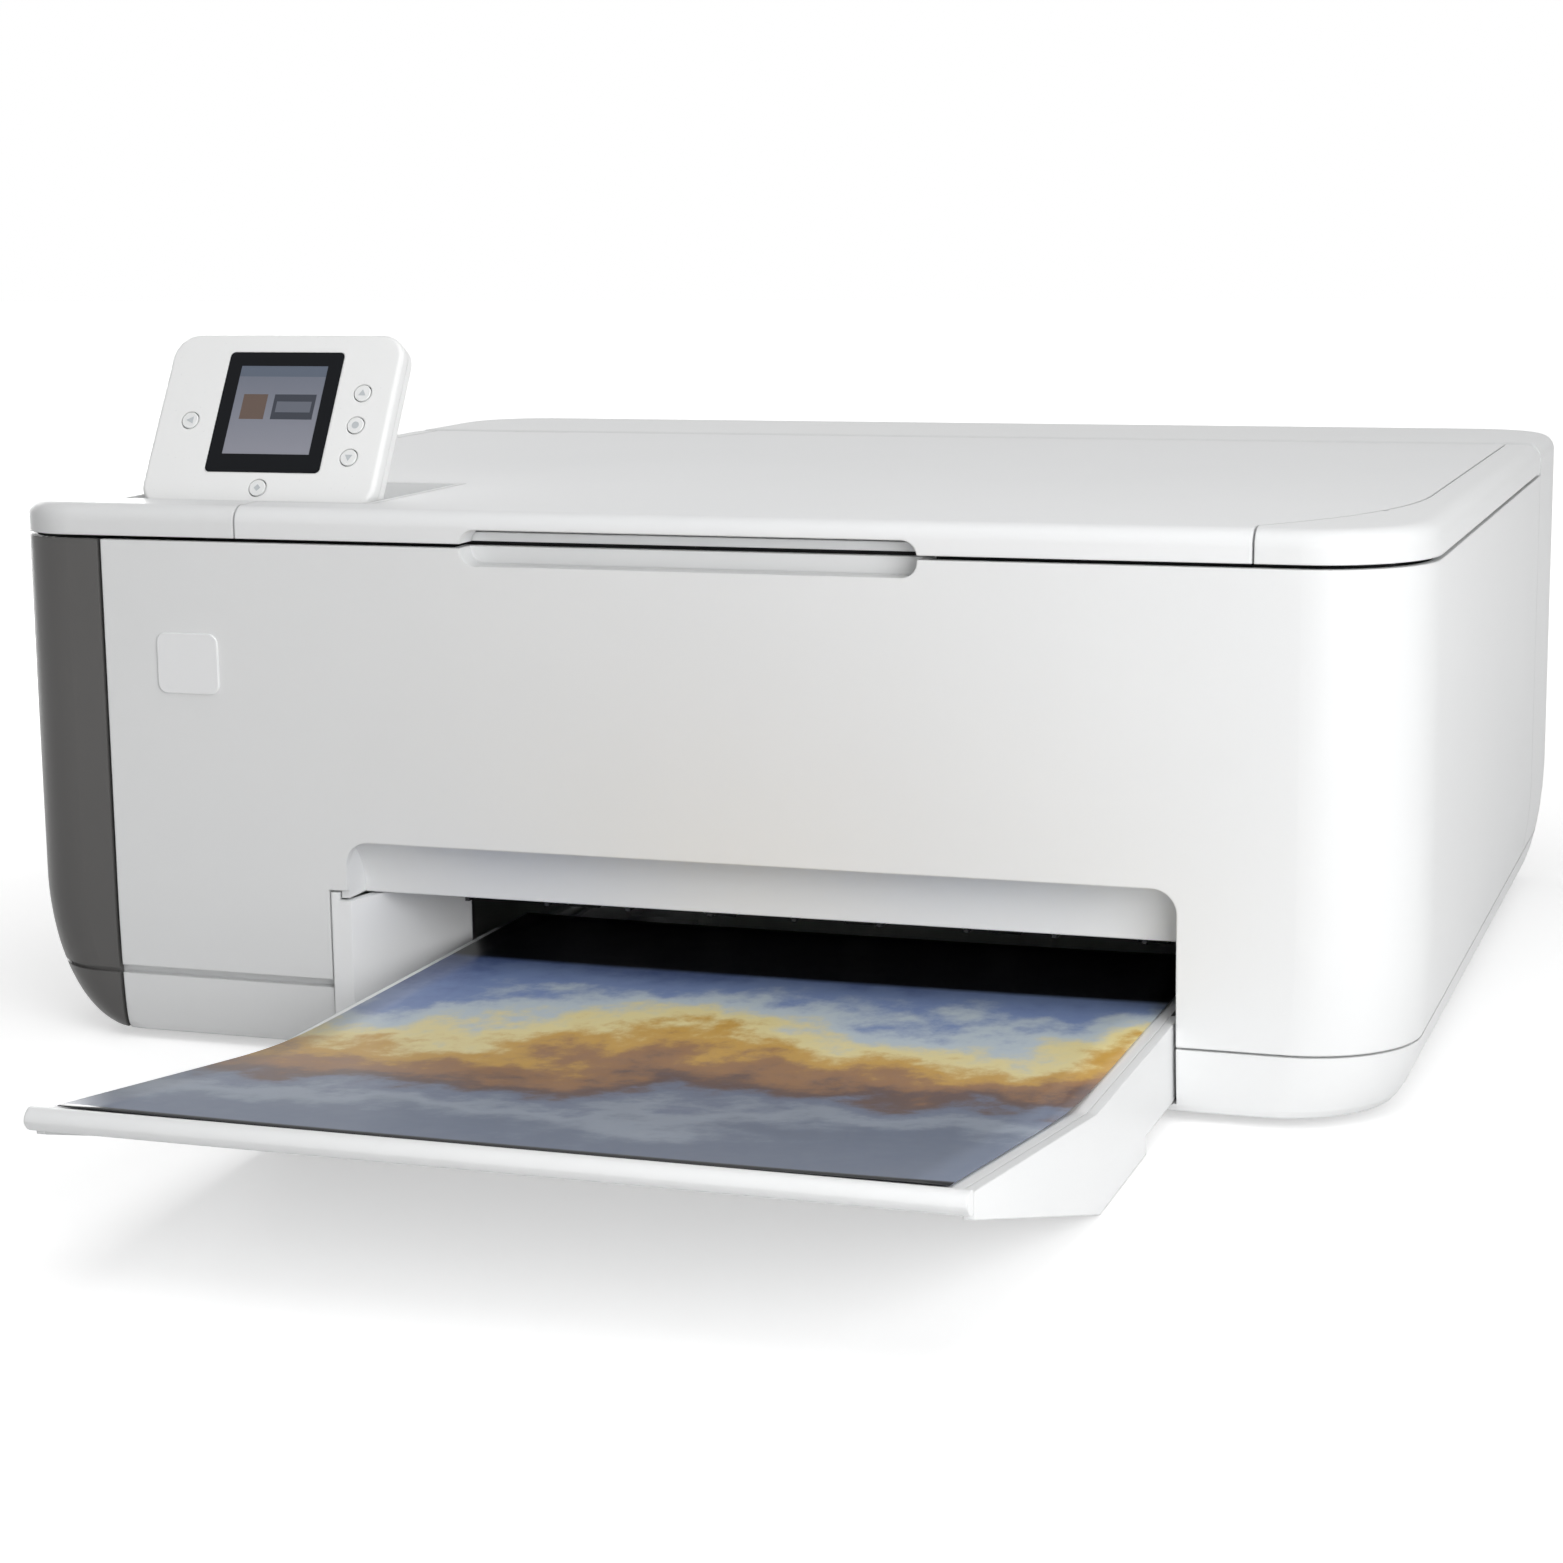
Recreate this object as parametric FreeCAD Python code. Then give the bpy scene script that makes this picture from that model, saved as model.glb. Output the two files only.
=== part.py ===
import FreeCAD, Part
import math
import os

# An inkjet printer with a flatbed scanner on top, a fold-up display and a front paper tray.
# Millimetres, +X to the viewer's right, +Y to the back, +Z up from the table.
V = FreeCAD.Vector

# Outer body
left_block = 104.0
station_width = 23.7
foot_height = 3.0
base_seam = 22.0
top_seam = 152.0
unit_height = 10.5
rear_section = 74.0
left_cap = 33.0
front_radius = 32.0
left_radius = 22.0
rear_radius = 30.0
top_radius = 5.0
left_tuck = 18.0
right_tuck = 10.0
end_tuck = 3.0
tuck_height = 46.0
tuck_round_share = 0.97
wall = 2.5
seam_gap = 1.2
groove_gap = 2.4
hairline = 0.6
lap_clearance = 0.4
tongue = 1.6
tongue_rise = 6.0
floor_thickness = 2.0

# Paper exit in the front
jamb_room = 24.0
jamb_front = 7.0
jamb_depth = 52.0
jamb_top = 50.4
brow_top = 65.0
brow_low = 48.0
brow_depth = 12.0
brow_inset = 6.0
brow_radius = 7.0

# Paper, tray and sheet
sheet_width = 216.0
sheet_length = 279.0
sheet_thickness = 0.3
sheet_play = 3.0
cheek = 2.5
tray_side_gap = 1.0
tray_reach = 206.0
tray_level = 27.5
tray_tip = 43.0
tray_bend = 88.0
tray_foot_rear = 31.0
tray_foot_front = 84.0
tray_foot_clearance = 0.6
lip_depth = 5.0
lip_height = 5.5
plate_drop = 0.0
plate_thickness = 2.0
plate_rear = 60.0
pan_depth = 232.0
pan_top = 21.0
pan_floor_clearance = 0.6
extender_bend_gap = 8.0
extender_width = 150.0
extender_thickness = 1.6
slide_clearance = 0.3
guide_depth = 110.0
guide_length = 60.0

# Scanner unit and lid
deck_thickness = 2.6
lid_thickness = 4.3
lip_left_inset = 78.0
lip_right_inset = 45.0
lid_lip_depth = 8.6
rail_width = 12.0
corner_run = 100.0
grip_left = -61.0
grip_right = 74.0
grip_drop = 5.0
grip_rise = 4.0
grip_depth = 8.0
grip_radius = 4.5
glass_right_inset = 18.0
glass_depth = 218.0
glass_side_gap = 2.8
glass_front = 52.0
glass_rear = 16.0
glass_ledge = 3.0
tub_depth = 32.0
tub_front = 15.0
tub_rear_gap = 6.0
tub_left_inset = 60.0
tub_right_gap = 8.0
tub_wall = 2.0
rear_round = 6.0
hinge_drop = 2.5
hinge_front_gap = 1.5
hinge_pin_radius = 1.2
knuckle_radius = 2.4
knuckle_width = 10.0
knuckle_gap = 0.4
hinge_offset = 150.0
running_clearance = 0.05

# Fold-up display
panel_inset = 35.0
panel_width = 77.0
panel_length = 57.8
panel_thickness = 8.0
panel_radius = 8.0
panel_edge = 1.4
panel_tilt = 59.0
panel_axis_depth = 22.5
panel_axis_drop = 2.0
panel_heel = 1.8
panel_face = 2.5
panel_front_share = 4.0
well_margin = 3.2
well_floor = 1.2
trunnion_radius = 1.5
trunnion_length = 3.0
bezel_left = 20.0
bezel_width = 38.0
bezel_bottom = 11.5
bezel_length = 40.0
bezel_thickness = 1.4
screen_margin = 4.6
screen_thickness = 0.6
key_radius = 2.6
key_clearance = 0.3
key_length = 2.2
key_proud = 0.3
key_pocket = 3.0

# Mechanism
side_bay = 36.0
plate_gauge = 2.0
frame_front_reach = 16.0
frame_rear_reach = 18.0
frame_head = 12.0
frame_foot = 12.0
frame_beam_lap = 4.0
strip_rise = 13.0
strip_height = 7.0
strip_gauge = 0.4
strip_gap = 1.0
path_height = 42.0
exit_depth = 84.0
feed_depth = 136.0
feed_radius = 6.0
exit_tyre_radius = 6.0
shaft_radius = 3.0
gear_module = 0.8
gear_width = 5.0
feed_teeth = 40
exit_teeth = 48
idler_teeth = 24
pinion_teeth = 12
pick_teeth = 36
pinion_angle = 20.0
pick_angle = -15.0
pick_tyre_radius = 10.0
pick_spread = 28.0
rod_radius = 4.0
rod_depth = 142.0
rod_height = 76.0
beam_depth = 160.0
beam_low = 58.0
beam_top = 102.0
belt_height = 88.0
belt_width = 6.0
belt_thickness = 1.2
belt_front = 151.0
pulley_radius = 6.0
pulley_inset = 14.0
motor_radius = 12.0
motor_length = 30.0
cartridge_width = 17.0
cartridge_depth = 36.0
cartridge_height = 42.0
cartridge_gap = 1.0
carriage_wall = 2.0
carriage_front = 91.0
head_gap = 4.0
star_radius = 4.0

# Back of the body
door_right = 90.0
door_width = 210.0
door_low = 52.0
door_height = 76.0
door_gap = 0.5
door_pin_radius = 1.5
inlet_inset = 60.0
inlet_width = 26.0
inlet_height = 18.0
inlet_depth = 20.0
port_inset = 98.0
port_width = 13.0
port_height = 12.0
port_depth = 16.0
socket_low = 66.0

# Feet and main board
foot_radius = 8.0
foot_inset = 40.0
board_thickness = 1.6
board_length = 130.0
board_height = 60.0
board_standoff = 6.0

# Places worked out from the sizes above
body_depth = glass_front + glass_depth + glass_rear + rear_section
front = (tray_reach - body_depth) / 2.0
rear = front + body_depth
tray_width = sheet_width + 2.0 * (sheet_play + cheek)
exit_width = jamb_room + tray_width + tray_side_gap
body_width = left_block + exit_width + wall + 3.0 * hairline + station_width + side_bay
half = body_width / 2.0
opening_left = -half + left_block
inlet_x = half - inlet_inset
port_x = half - port_inset
lid_top = top_seam + unit_height
split_y = rear - rear_section
seam_x = -half + left_cap
unit_low = top_seam + seam_gap
deck_top = unit_low + deck_thickness
lid_low = lid_top - lid_thickness
pan_z = foot_height + floor_thickness
tray_left = opening_left + jamb_room
tray_right = tray_left + tray_width
opening_right = tray_right + tray_side_gap
frame_x = half - side_bay
brow_left = opening_left + brow_inset
lip_left = -half + lip_left_inset
lip_right = half - lip_right_inset
panel_left = -half + panel_inset
lap_inset = wall + lap_clearance
core_inset = lap_inset + tongue
far = 2.0 * (body_width + body_depth + tray_reach)


def block(x, y, z):
    """A box between the two values given for each axis."""
    return Part.makeBox(x[1] - x[0], y[1] - y[0], z[1] - z[0], V(x[0], y[0], z[0]))


def rod_x(radius, x, y, z):
    """A cylinder along X between the two x values."""
    return Part.makeCylinder(radius, x[1] - x[0], V(x[0], y, z), V(1, 0, 0))


def rod_y(radius, x, y, z):
    """A cylinder along Y between the two y values."""
    return Part.makeCylinder(radius, y[1] - y[0], V(x, y[0], z), V(0, 1, 0))


def rod_z(radius, x, y, z):
    """A cylinder along Z between the two z values."""
    return Part.makeCylinder(radius, z[1] - z[0], V(x, y, z[0]), V(0, 0, 1))


def outline(points):
    """A closed wire through points; a triple is the middle point of an arc and is given as ('arc', point)."""
    edges = []
    count = len(points)
    index = 0
    while index < count:
        start = points[index]
        step = points[(index + 1) % count]
        if isinstance(step, tuple):
            end = points[(index + 2) % count]
            edges.append(Part.Arc(start, step[1], end).toShape())
            index += 2
        else:
            edges.append(Part.LineSegment(start, step).toShape())
            index += 1
    return Part.Wire(edges)


def prism(points, direction):
    """The solid swept by a flat outline along a straight direction."""
    return Part.Face(outline(points)).extrude(direction)


def side_prism(profile, x):
    """A profile of (y, z) points, arcs marked, swept along X between two x values."""
    points = []
    for item in profile:
        if item[0] == "arc":
            points.append(("arc", V(x[0], item[1], item[2])))
        else:
            points.append(V(x[0], item[0], item[1]))
    return prism(points, V(x[1] - x[0], 0, 0))


def rounded_block(x, y, z, radius, axis):
    """A box whose four edges along one axis are rounded."""
    solid = block(x, y, z)
    along = {"x": V(1, 0, 0), "y": V(0, 1, 0), "z": V(0, 0, 1)}[axis]
    edges = []
    for edge in solid.Edges:
        run = edge.Vertexes[1].Point.sub(edge.Vertexes[0].Point)
        if abs(run.normalize().dot(along)) > 0.99:
            edges.append(edge)
    return solid.makeFillet(radius, edges)


def plan_wire(inset, z):
    """The body's rounded outline at one height, drawn in by the wall inset and by the tuck at the bottom."""
    low = tuck_round_share * max(0.0, 1.0 - (z - foot_height) / tuck_height)
    share = (1.0 - math.sqrt(1.0 - low ** 2)) / (1.0 - math.sqrt(1.0 - tuck_round_share ** 2))
    x0 = -half + inset + left_tuck * share
    x1 = half - inset - right_tuck * share
    y0 = front + inset + end_tuck * share
    y1 = rear - inset - end_tuck * share
    rl = left_radius - inset
    rf = front_radius - inset
    rr = rear_radius - inset
    k = 1.0 - math.sqrt(0.5)
    return outline([
        V(x0 + rl, y0, z), V(x1 - rf, y0, z), ("arc", V(x1 - k * rf, y0 + k * rf, z)),
        V(x1, y0 + rf, z), V(x1, y1 - rr, z), ("arc", V(x1 - k * rr, y1 - k * rr, z)),
        V(x1 - rr, y1, z), V(x0 + rr, y1, z), ("arc", V(x0 + k * rr, y1 - k * rr, z)),
        V(x0, y1 - rr, z), V(x0, y0 + rl, z), ("arc", V(x0 + k * rl, y0 + k * rl, z))])


def body_solid(inset, top):
    """The whole body inset by a wall: a lofted hull below and a straight prism above."""
    knee = foot_height + tuck_height
    shares = (0.0, 0.06, 0.16, 0.3, 0.5, 0.74, 1.0)
    sections = [plan_wire(inset, foot_height + tuck_height * share) for share in shares]
    hull = Part.makeLoft(sections, True, False)
    upper = Part.Face(plan_wire(inset, knee)).extrude(V(0, 0, top - knee))
    return hull.fuse(upper)


def top_edges(solid, z):
    """The edges of a solid that lie in the level plane z."""
    found = []
    for edge in solid.Edges:
        box = edge.BoundBox
        if abs(box.ZMin - z) < 1e-4 and abs(box.ZMax - z) < 1e-4:
            found.append(edge)
    return found


def save(name, shape):
    """Writes one piece to its own file."""
    if shape.ShapeType == "Compound" and len(shape.Solids) == 1:
        shape = shape.Solids[0]
    shape.exportStep("parts/%s.step" % name)


os.makedirs("parts", exist_ok=True)

# Body hull, from which the covers, the scanner unit and the lid are cut
hull = body_solid(0.0, lid_top)
hull = hull.makeFillet(top_radius, top_edges(hull, lid_top))
hollow = body_solid(wall, lid_top)
lap_core = body_solid(lap_inset, lid_top)
tongue_core = body_solid(core_inset, lid_top)
skin = hull.cut(hollow)
tongue_skin = lap_core.cut(tongue_core)
everywhere = (-far, far)
base_top = base_seam - groove_gap / 2.0
cover_low = base_seam + groove_gap / 2.0
close_low = base_top + hairline
cover_front_x = seam_x + seam_gap / 2.0
cap_x = seam_x - seam_gap / 2.0
cover_rear_y = split_y - hairline / 2.0
rear_front_y = split_y + hairline / 2.0

# Base pan: floor, low outer wall and a tongue that stands behind the covers
base_pan = hull.cut(tongue_core).common(block(everywhere, everywhere, (foot_height, base_top)))
base_floor = hull.common(block(everywhere, everywhere, (foot_height, pan_z)))
base_tongue = tongue_skin.common(block(everywhere, everywhere, (base_top, cover_low + tongue_rise)))
cap_room = hull.cut(lap_core).common(block((-far, cover_front_x), (-far, rear_front_y), (0.0, far)))
base_pan = base_pan.fuse([base_floor, base_tongue]).cut(cap_room)
tray_way = block((opening_left, opening_right), (front - wall, front + 2.0 * core_inset), (pan_z, far))
base_pan = base_pan.cut(tray_way)
rib_y = [split_y - 20.0, split_y + 20.0]
for y in rib_y:
    base_rib = block((-half + front_radius, half - front_radius), (y, y + wall), (pan_z, base_top - wall))
    base_pan = base_pan.fuse(base_rib)
save("base_pan", base_pan)

# Rubber feet under the four corners
feet = []
for x in (-half + foot_inset + left_tuck, half - foot_inset - right_tuck):
    for y in (front + foot_inset, rear - foot_inset):
        foot = rod_z(foot_radius, x, y, (0.0, foot_height))
        feet.append(foot.makeFillet(foot_height / 4.0, top_edges(foot, 0.0)))
save("rubber_feet", Part.makeCompound(feet))

# Left side cover: a dark wrap-round corner piece with a crease and a lap strip behind the seam
left_cover = skin.common(block((-far, cap_x), (-far, cover_rear_y), (foot_height, top_seam)))
crease = hull.cut(body_solid(wall / 3.0, lid_top))
left_cover = left_cover.cut(crease.common(block((-far, cap_x), (-far, far), (base_top, base_top + seam_gap))))
strip_low = cover_low + 2.0 * tongue_rise
strip_z = (strip_low, top_seam - seam_gap)
strip = hull.cut(tongue_core).common(block((seam_x - 9.0, cap_x), (front - wall, front + wall * 4.0), strip_z))
strip_lap = tongue_skin.common(block((cap_x, seam_x + 8.0), (front - wall, front + wall * 4.0), strip_z))
left_cover = left_cover.fuse([strip, strip_lap])
save("left_side_cover", left_cover)

# Front cover: front wall and right side in one moulding, with the cove over the paper exit and half a finger grip
cover_room = block((cover_front_x, far), (-far, cover_rear_y), (cover_low, top_seam))
close_room = block((opening_right - wall, far), (-far, cover_rear_y), (close_low, cover_low))
front_cover = skin.common(cover_room.fuse(close_room).removeSplitter())
way_low = block((opening_left, opening_right), (front - wall, front + 2.0 * wall), (0.0, jamb_top))
way_high = rounded_block((brow_left, opening_right), (front - wall, front + 2.0 * wall),
                         (base_seam - brow_radius, brow_top), brow_radius, "y")
front_cover = front_cover.cut(way_low.fuse(way_high))
cove_share = math.sqrt(0.5)
cove = side_prism([
    (front + wall / 2.0, brow_top),
    ("arc", front + brow_depth * cove_share, brow_low + (brow_top - brow_low) * cove_share),
    (front + brow_depth, brow_low),
    (front + brow_depth + wall, brow_low),
    ("arc", front + brow_depth * cove_share + wall, brow_low + (brow_top - brow_low) * cove_share + wall),
    (front + wall / 2.0, brow_top + wall)], (brow_left - wall, opening_right + wall))
end_profile = [
    (front + wall / 2.0, brow_top),
    ("arc", front + brow_depth * cove_share, brow_low + (brow_top - brow_low) * cove_share),
    (front + brow_depth, brow_low),
    (front + wall / 2.0, brow_low)]
cove_ends = []
for x in (brow_left - wall, opening_right):
    cove_ends.append(side_prism(end_profile, (x, x + wall)))
front_cover = front_cover.fuse([cove] + cove_ends)
grip_block = block((grip_left - wall, grip_right + wall), (front + wall / 2.0, front + grip_depth + wall),
                   (top_seam - grip_drop - wall, top_seam))
grip_pocket = rounded_block((grip_left, grip_right), (front - wall, front + grip_depth),
                            (top_seam - grip_drop, top_seam + 3.0 * grip_radius), grip_radius, "y")
front_cover = front_cover.fuse(grip_block).cut(grip_pocket)
save("front_cover", front_cover)

# Rear cover: back wall, both rear corners and the fixed strip of the top behind the lid
deck_front_y = split_y + hinge_front_gap
rear_outer = hull.common(block(everywhere, (rear_front_y, far), (close_low, far)))
rear_inner = hollow.common(block(everywhere, (-far, far), (0.0, lid_top - wall)))
rear_cover = rear_outer.cut(rear_inner)
rear_cover = rear_cover.cut(block(everywhere, (-far, deck_front_y), (top_seam, far)))
deck_lip_low = lid_top - rear_round
deck_lip = hull.common(block(everywhere, (deck_front_y, deck_front_y + rear_round), (deck_lip_low, far)))
deck_round = block(everywhere, (-far, deck_front_y + rear_round), (deck_lip_low, far)).cut(
    rod_x(rear_round, everywhere, deck_front_y + rear_round, deck_lip_low))
rear_cover = rear_cover.fuse(deck_lip).cut(deck_round)
door_left = door_right - door_width
door_top = door_low + door_height
door_hole = block((door_left, door_right), (rear - 3.0 * wall, rear + wall), (door_low, door_top))
inlet_hole = block((inlet_x - inlet_width / 2.0, inlet_x + inlet_width / 2.0), (rear - 3.0 * wall, rear + wall),
                   (socket_low, socket_low + inlet_height))
port_hole = block((port_x - port_width / 2.0, port_x + port_width / 2.0), (rear - 3.0 * wall, rear + wall),
                  (socket_low, socket_low + port_height))
rear_cover = rear_cover.cut(door_hole.fuse([inlet_hole, port_hole]))
vent_pitch = 9.0
vent_slot = 3.0
vents = []
for row in range(6):
    z = door_low + row * vent_pitch
    vents.append(block((-half + rear_radius + 10.0, door_left - 12.0), (rear - 3.0 * wall, rear + wall), (z, z + vent_slot)))
rear_cover = rear_cover.cut(vents[0].fuse(vents[1:]))
door_foot_radius = wall + door_pin_radius
door_axis_y = rear - door_foot_radius
door_axis_z = door_low + door_gap + door_foot_radius
door_ears = []
for x in (door_left - wall, door_right):
    ear = block((x, x + wall), (door_axis_y - 2.0 * door_pin_radius, rear - wall / 2.0),
                (door_low, door_axis_z + 2.0 * door_pin_radius))
    door_ears.append(ear)
pin_holes = rod_x(door_pin_radius + running_clearance, (door_left - 2.0 * wall, door_right + 2.0 * wall),
                  door_axis_y, door_axis_z)
rear_cover = rear_cover.fuse(door_ears).cut(pin_holes)

# Hinges of the lid and of the scanner unit, both on one line along the rear strip
axis_y = split_y
axis_z = lid_top - hinge_drop
pitch = knuckle_width + knuckle_gap
knuckles = {"deck": [], "unit": [], "lid": []}
hinge_pins = []
for side in (-1.0, 1.0):
    start = side * hinge_offset - 1.5 * pitch
    for order, owner in enumerate(("unit", "deck", "lid")):
        knuckles[owner].append((start + order * pitch, start + order * pitch + knuckle_width))
    hinge_pins.append(rod_x(hinge_pin_radius, (start, start + 3.0 * pitch - knuckle_gap), axis_y, axis_z))
knuckle_room = knuckle_radius + hairline
pin_bore = hinge_pin_radius + running_clearance
for owner in ("unit", "lid"):
    for x in knuckles[owner]:
        room = (x[0] - knuckle_gap, x[1] + knuckle_gap)
        notch = block(room, (axis_y - knuckle_room, axis_y + knuckle_room), (top_seam - tub_depth, lid_top + wall))
        rear_cover = rear_cover.cut(notch)
for x in knuckles["deck"]:
    arm = block(x, (axis_y, deck_front_y + rear_round), (axis_z - knuckle_radius, axis_z))
    rear_cover = rear_cover.fuse([rod_x(knuckle_radius, x, axis_y, axis_z), arm])
    rear_cover = rear_cover.cut(rod_x(hinge_pin_radius, (x[0] - 1.0, x[1] + 1.0), axis_y, axis_z))
save("rear_cover", rear_cover)
save("hinge_pins", Part.makeCompound(hinge_pins))

# Rear access door: a ribbed panel on two stub pins at its foot
door_x = (door_left + door_gap, door_right - door_gap)
door = block(door_x, (rear - wall, rear), (door_axis_z, door_top - door_gap))
door_foot = rod_x(door_foot_radius, door_x, door_axis_y, door_axis_z)
door_pins = rod_x(door_pin_radius, (door_left - wall, door_right + wall), door_axis_y, door_axis_z)
door_rib_count = 5
door_parts = [door_foot, door_pins]
for order in range(door_rib_count):
    x = door_left + door_width * (order + 1.0) / (door_rib_count + 1.0)
    rib = side_prism([
        (rear - wall, door_low + 14.0),
        (rear - wall, door_top - 10.0),
        ("arc", rear - wall - 12.0, (door_low + door_top) / 2.0 + 2.0)], (x - wall / 2.0, x + wall / 2.0))
    door_parts.append(rib)
finger_dent = rod_y(9.0, (door_left + door_right) / 2.0, (rear - wall / 2.0, rear + wall), door_top - door_gap)
door = door.fuse(door_parts).cut(finger_dent)
save("rear_access_door", door)

# Power inlet with its two blades, and the data port beside it
inlet_x0 = inlet_x - inlet_width / 2.0 + door_gap
inlet_x1 = inlet_x + inlet_width / 2.0 - door_gap
inlet_z = (socket_low + door_gap, socket_low + inlet_height - door_gap)
inlet = rounded_block((inlet_x0, inlet_x1), (rear - inlet_depth, rear - 0.2), inlet_z, 3.0, "y")
inlet_cup = rounded_block((inlet_x0 + wall, inlet_x1 - wall), (rear - inlet_depth + wall, rear + wall),
                          (inlet_z[0] + wall, inlet_z[1] - wall), 4.0, "y")
inlet = inlet.cut(inlet_cup)
blade_spread = 4.5
for x in (inlet_x - blade_spread, inlet_x + blade_spread):
    blade = rod_y(1.2, x, (rear - inlet_depth + wall / 2.0, rear - wall * 1.6), sum(inlet_z) / 2.0)
    inlet = inlet.fuse(blade)
inlet_flange = block((inlet_x0 - wall, inlet_x1 + wall), (rear - 2.0 * wall, rear - wall),
                     (inlet_z[0] - wall, inlet_z[1] + wall))
inlet = inlet.fuse(inlet_flange.cut(inlet_cup))
save("power_inlet", inlet)
port_x0 = port_x - port_width / 2.0 + door_gap
port_x1 = port_x + port_width / 2.0 - door_gap
port_z = (socket_low + door_gap, socket_low + port_height - door_gap)
shell_gauge = 0.6
port = block((port_x0, port_x1), (rear - port_depth, rear - 0.4), port_z)
port = port.cut(block((port_x0 + shell_gauge, port_x1 - shell_gauge), (rear - port_depth + wall, rear + wall),
                      (port_z[0] + shell_gauge, port_z[1] - shell_gauge)))
port_core = block((port_x0 + 4.0, port_x1 - 4.0), (rear - port_depth + wall / 2.0, rear - wall * 1.4),
                  (port_z[0] + 4.0, port_z[1] - 4.0))
port_flange = block((port_x0 - wall, port_x1 + wall), (rear - 2.0 * wall, rear - wall), (port_z[0] - wall, port_z[1] + wall))
port_hollow = block((port_x0, port_x1), (rear - 3.0 * wall, rear), port_z)
port = port.fuse([port_core, port_flange.cut(port_hollow)])
save("data_port", port)

# White wall inside the paper exit, turned in from the front face
jamb_x0 = opening_left + hairline
jamb_x1 = opening_left + jamb_front
jamb_x2 = tray_left - 2.0 * tray_side_gap
jamb_points = [
    V(jamb_x0, front, pan_z), V(jamb_x1, front, pan_z),
    ("arc", V((jamb_x1 + jamb_x2) / 2.0 - 1.5, front + jamb_depth * 0.42, pan_z)),
    V(jamb_x2, front + jamb_depth, pan_z), V(jamb_x2 - wall, front + jamb_depth, pan_z),
    ("arc", V((jamb_x1 + jamb_x2) / 2.0 - 1.5 - wall, front + jamb_depth * 0.45, pan_z)),
    V(jamb_x1 - wall, front + wall, pan_z), V(jamb_x0, front + wall, pan_z)]
side_jamb = prism(jamb_points, V(0, 0, brow_low - hairline - pan_z))
jamb_ear = block((jamb_x0, brow_left - wall - hairline), (front, front + wall), (pan_z, jamb_top - hairline))
side_jamb = side_jamb.fuse(jamb_ear)
save("side_jamb", side_jamb)

# Dark liner: right wall and ceiling of the paper exit
liner_rear = exit_depth - exit_tyre_radius - 4.0
liner_x = opening_right + hairline
liner_z = brow_low + hairline
liner_y = (front + core_inset + end_tuck + hairline, front + liner_rear)
ceiling_y = (front + brow_depth + wall + hairline, front + liner_rear)
liner = block((liner_x, liner_x + wall), liner_y, (pan_z, brow_low - hairline))
ceiling = block((tray_left, liner_x + wall), ceiling_y, (liner_z, liner_z + wall))
liner_shoulder = block((liner_x, liner_x + wall), ceiling_y, (pan_z, liner_z + wall))
ceiling_parts = [ceiling, liner_shoulder]
ceiling_rib_count = 9
for order in range(ceiling_rib_count):
    x = tray_left + (opening_right - tray_left) * (order + 0.5) / ceiling_rib_count
    ceiling_parts.append(block((x, x + wall / 2.0), ceiling_y, (liner_z - wall, liner_z)))
liner = liner.fuse(ceiling_parts)
save("exit_liner", liner)

# Side frames: steel plates that stand on the base and carry the shafts
feed_y = front + feed_depth
exit_y = front + exit_depth
feed_z = path_height - feed_radius
exit_z = path_height - exit_tyre_radius


def pitch_radius(teeth):
    """Half the pitch diameter of a gear."""
    return teeth * gear_module / 2.0


pinion_reach = pitch_radius(feed_teeth) + pitch_radius(pinion_teeth)
pinion_y = feed_y + pinion_reach * math.cos(math.radians(pinion_angle))
pinion_z = feed_z + pinion_reach * math.sin(math.radians(pinion_angle))
pick_reach = pitch_radius(pinion_teeth) + pitch_radius(pick_teeth)
pick_y = pinion_y + pick_reach * math.cos(math.radians(pick_angle))
pick_z = pinion_z + pick_reach * math.sin(math.radians(pick_angle))
feed_to_idler = pitch_radius(feed_teeth) + pitch_radius(idler_teeth)
exit_to_idler = pitch_radius(exit_teeth) + pitch_radius(idler_teeth)
axis_gap = math.hypot(feed_y - exit_y, feed_z - exit_z)
along = (axis_gap ** 2 + exit_to_idler ** 2 - feed_to_idler ** 2) / (2.0 * axis_gap)
aside = math.sqrt(exit_to_idler ** 2 - along ** 2)
lean = math.atan2(feed_z - exit_z, feed_y - exit_y)
idler_y = exit_y + along * math.cos(lean) - aside * math.sin(lean)
idler_z = exit_z + along * math.sin(lean) + aside * math.cos(lean)
star_z = path_height + slide_clearance + star_radius
rod_y_place = front + rod_depth
bore = shaft_radius + running_clearance
frame_profile = [
    (exit_y - frame_front_reach, pan_z), (pick_y + frame_rear_reach, pan_z),
    (pick_y + frame_rear_reach, pick_z + frame_head), (front + beam_depth + frame_beam_lap, beam_top),
    (rod_y_place - frame_head, beam_top), (exit_y - frame_front_reach, star_z + frame_head)]
frames = {}
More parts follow.
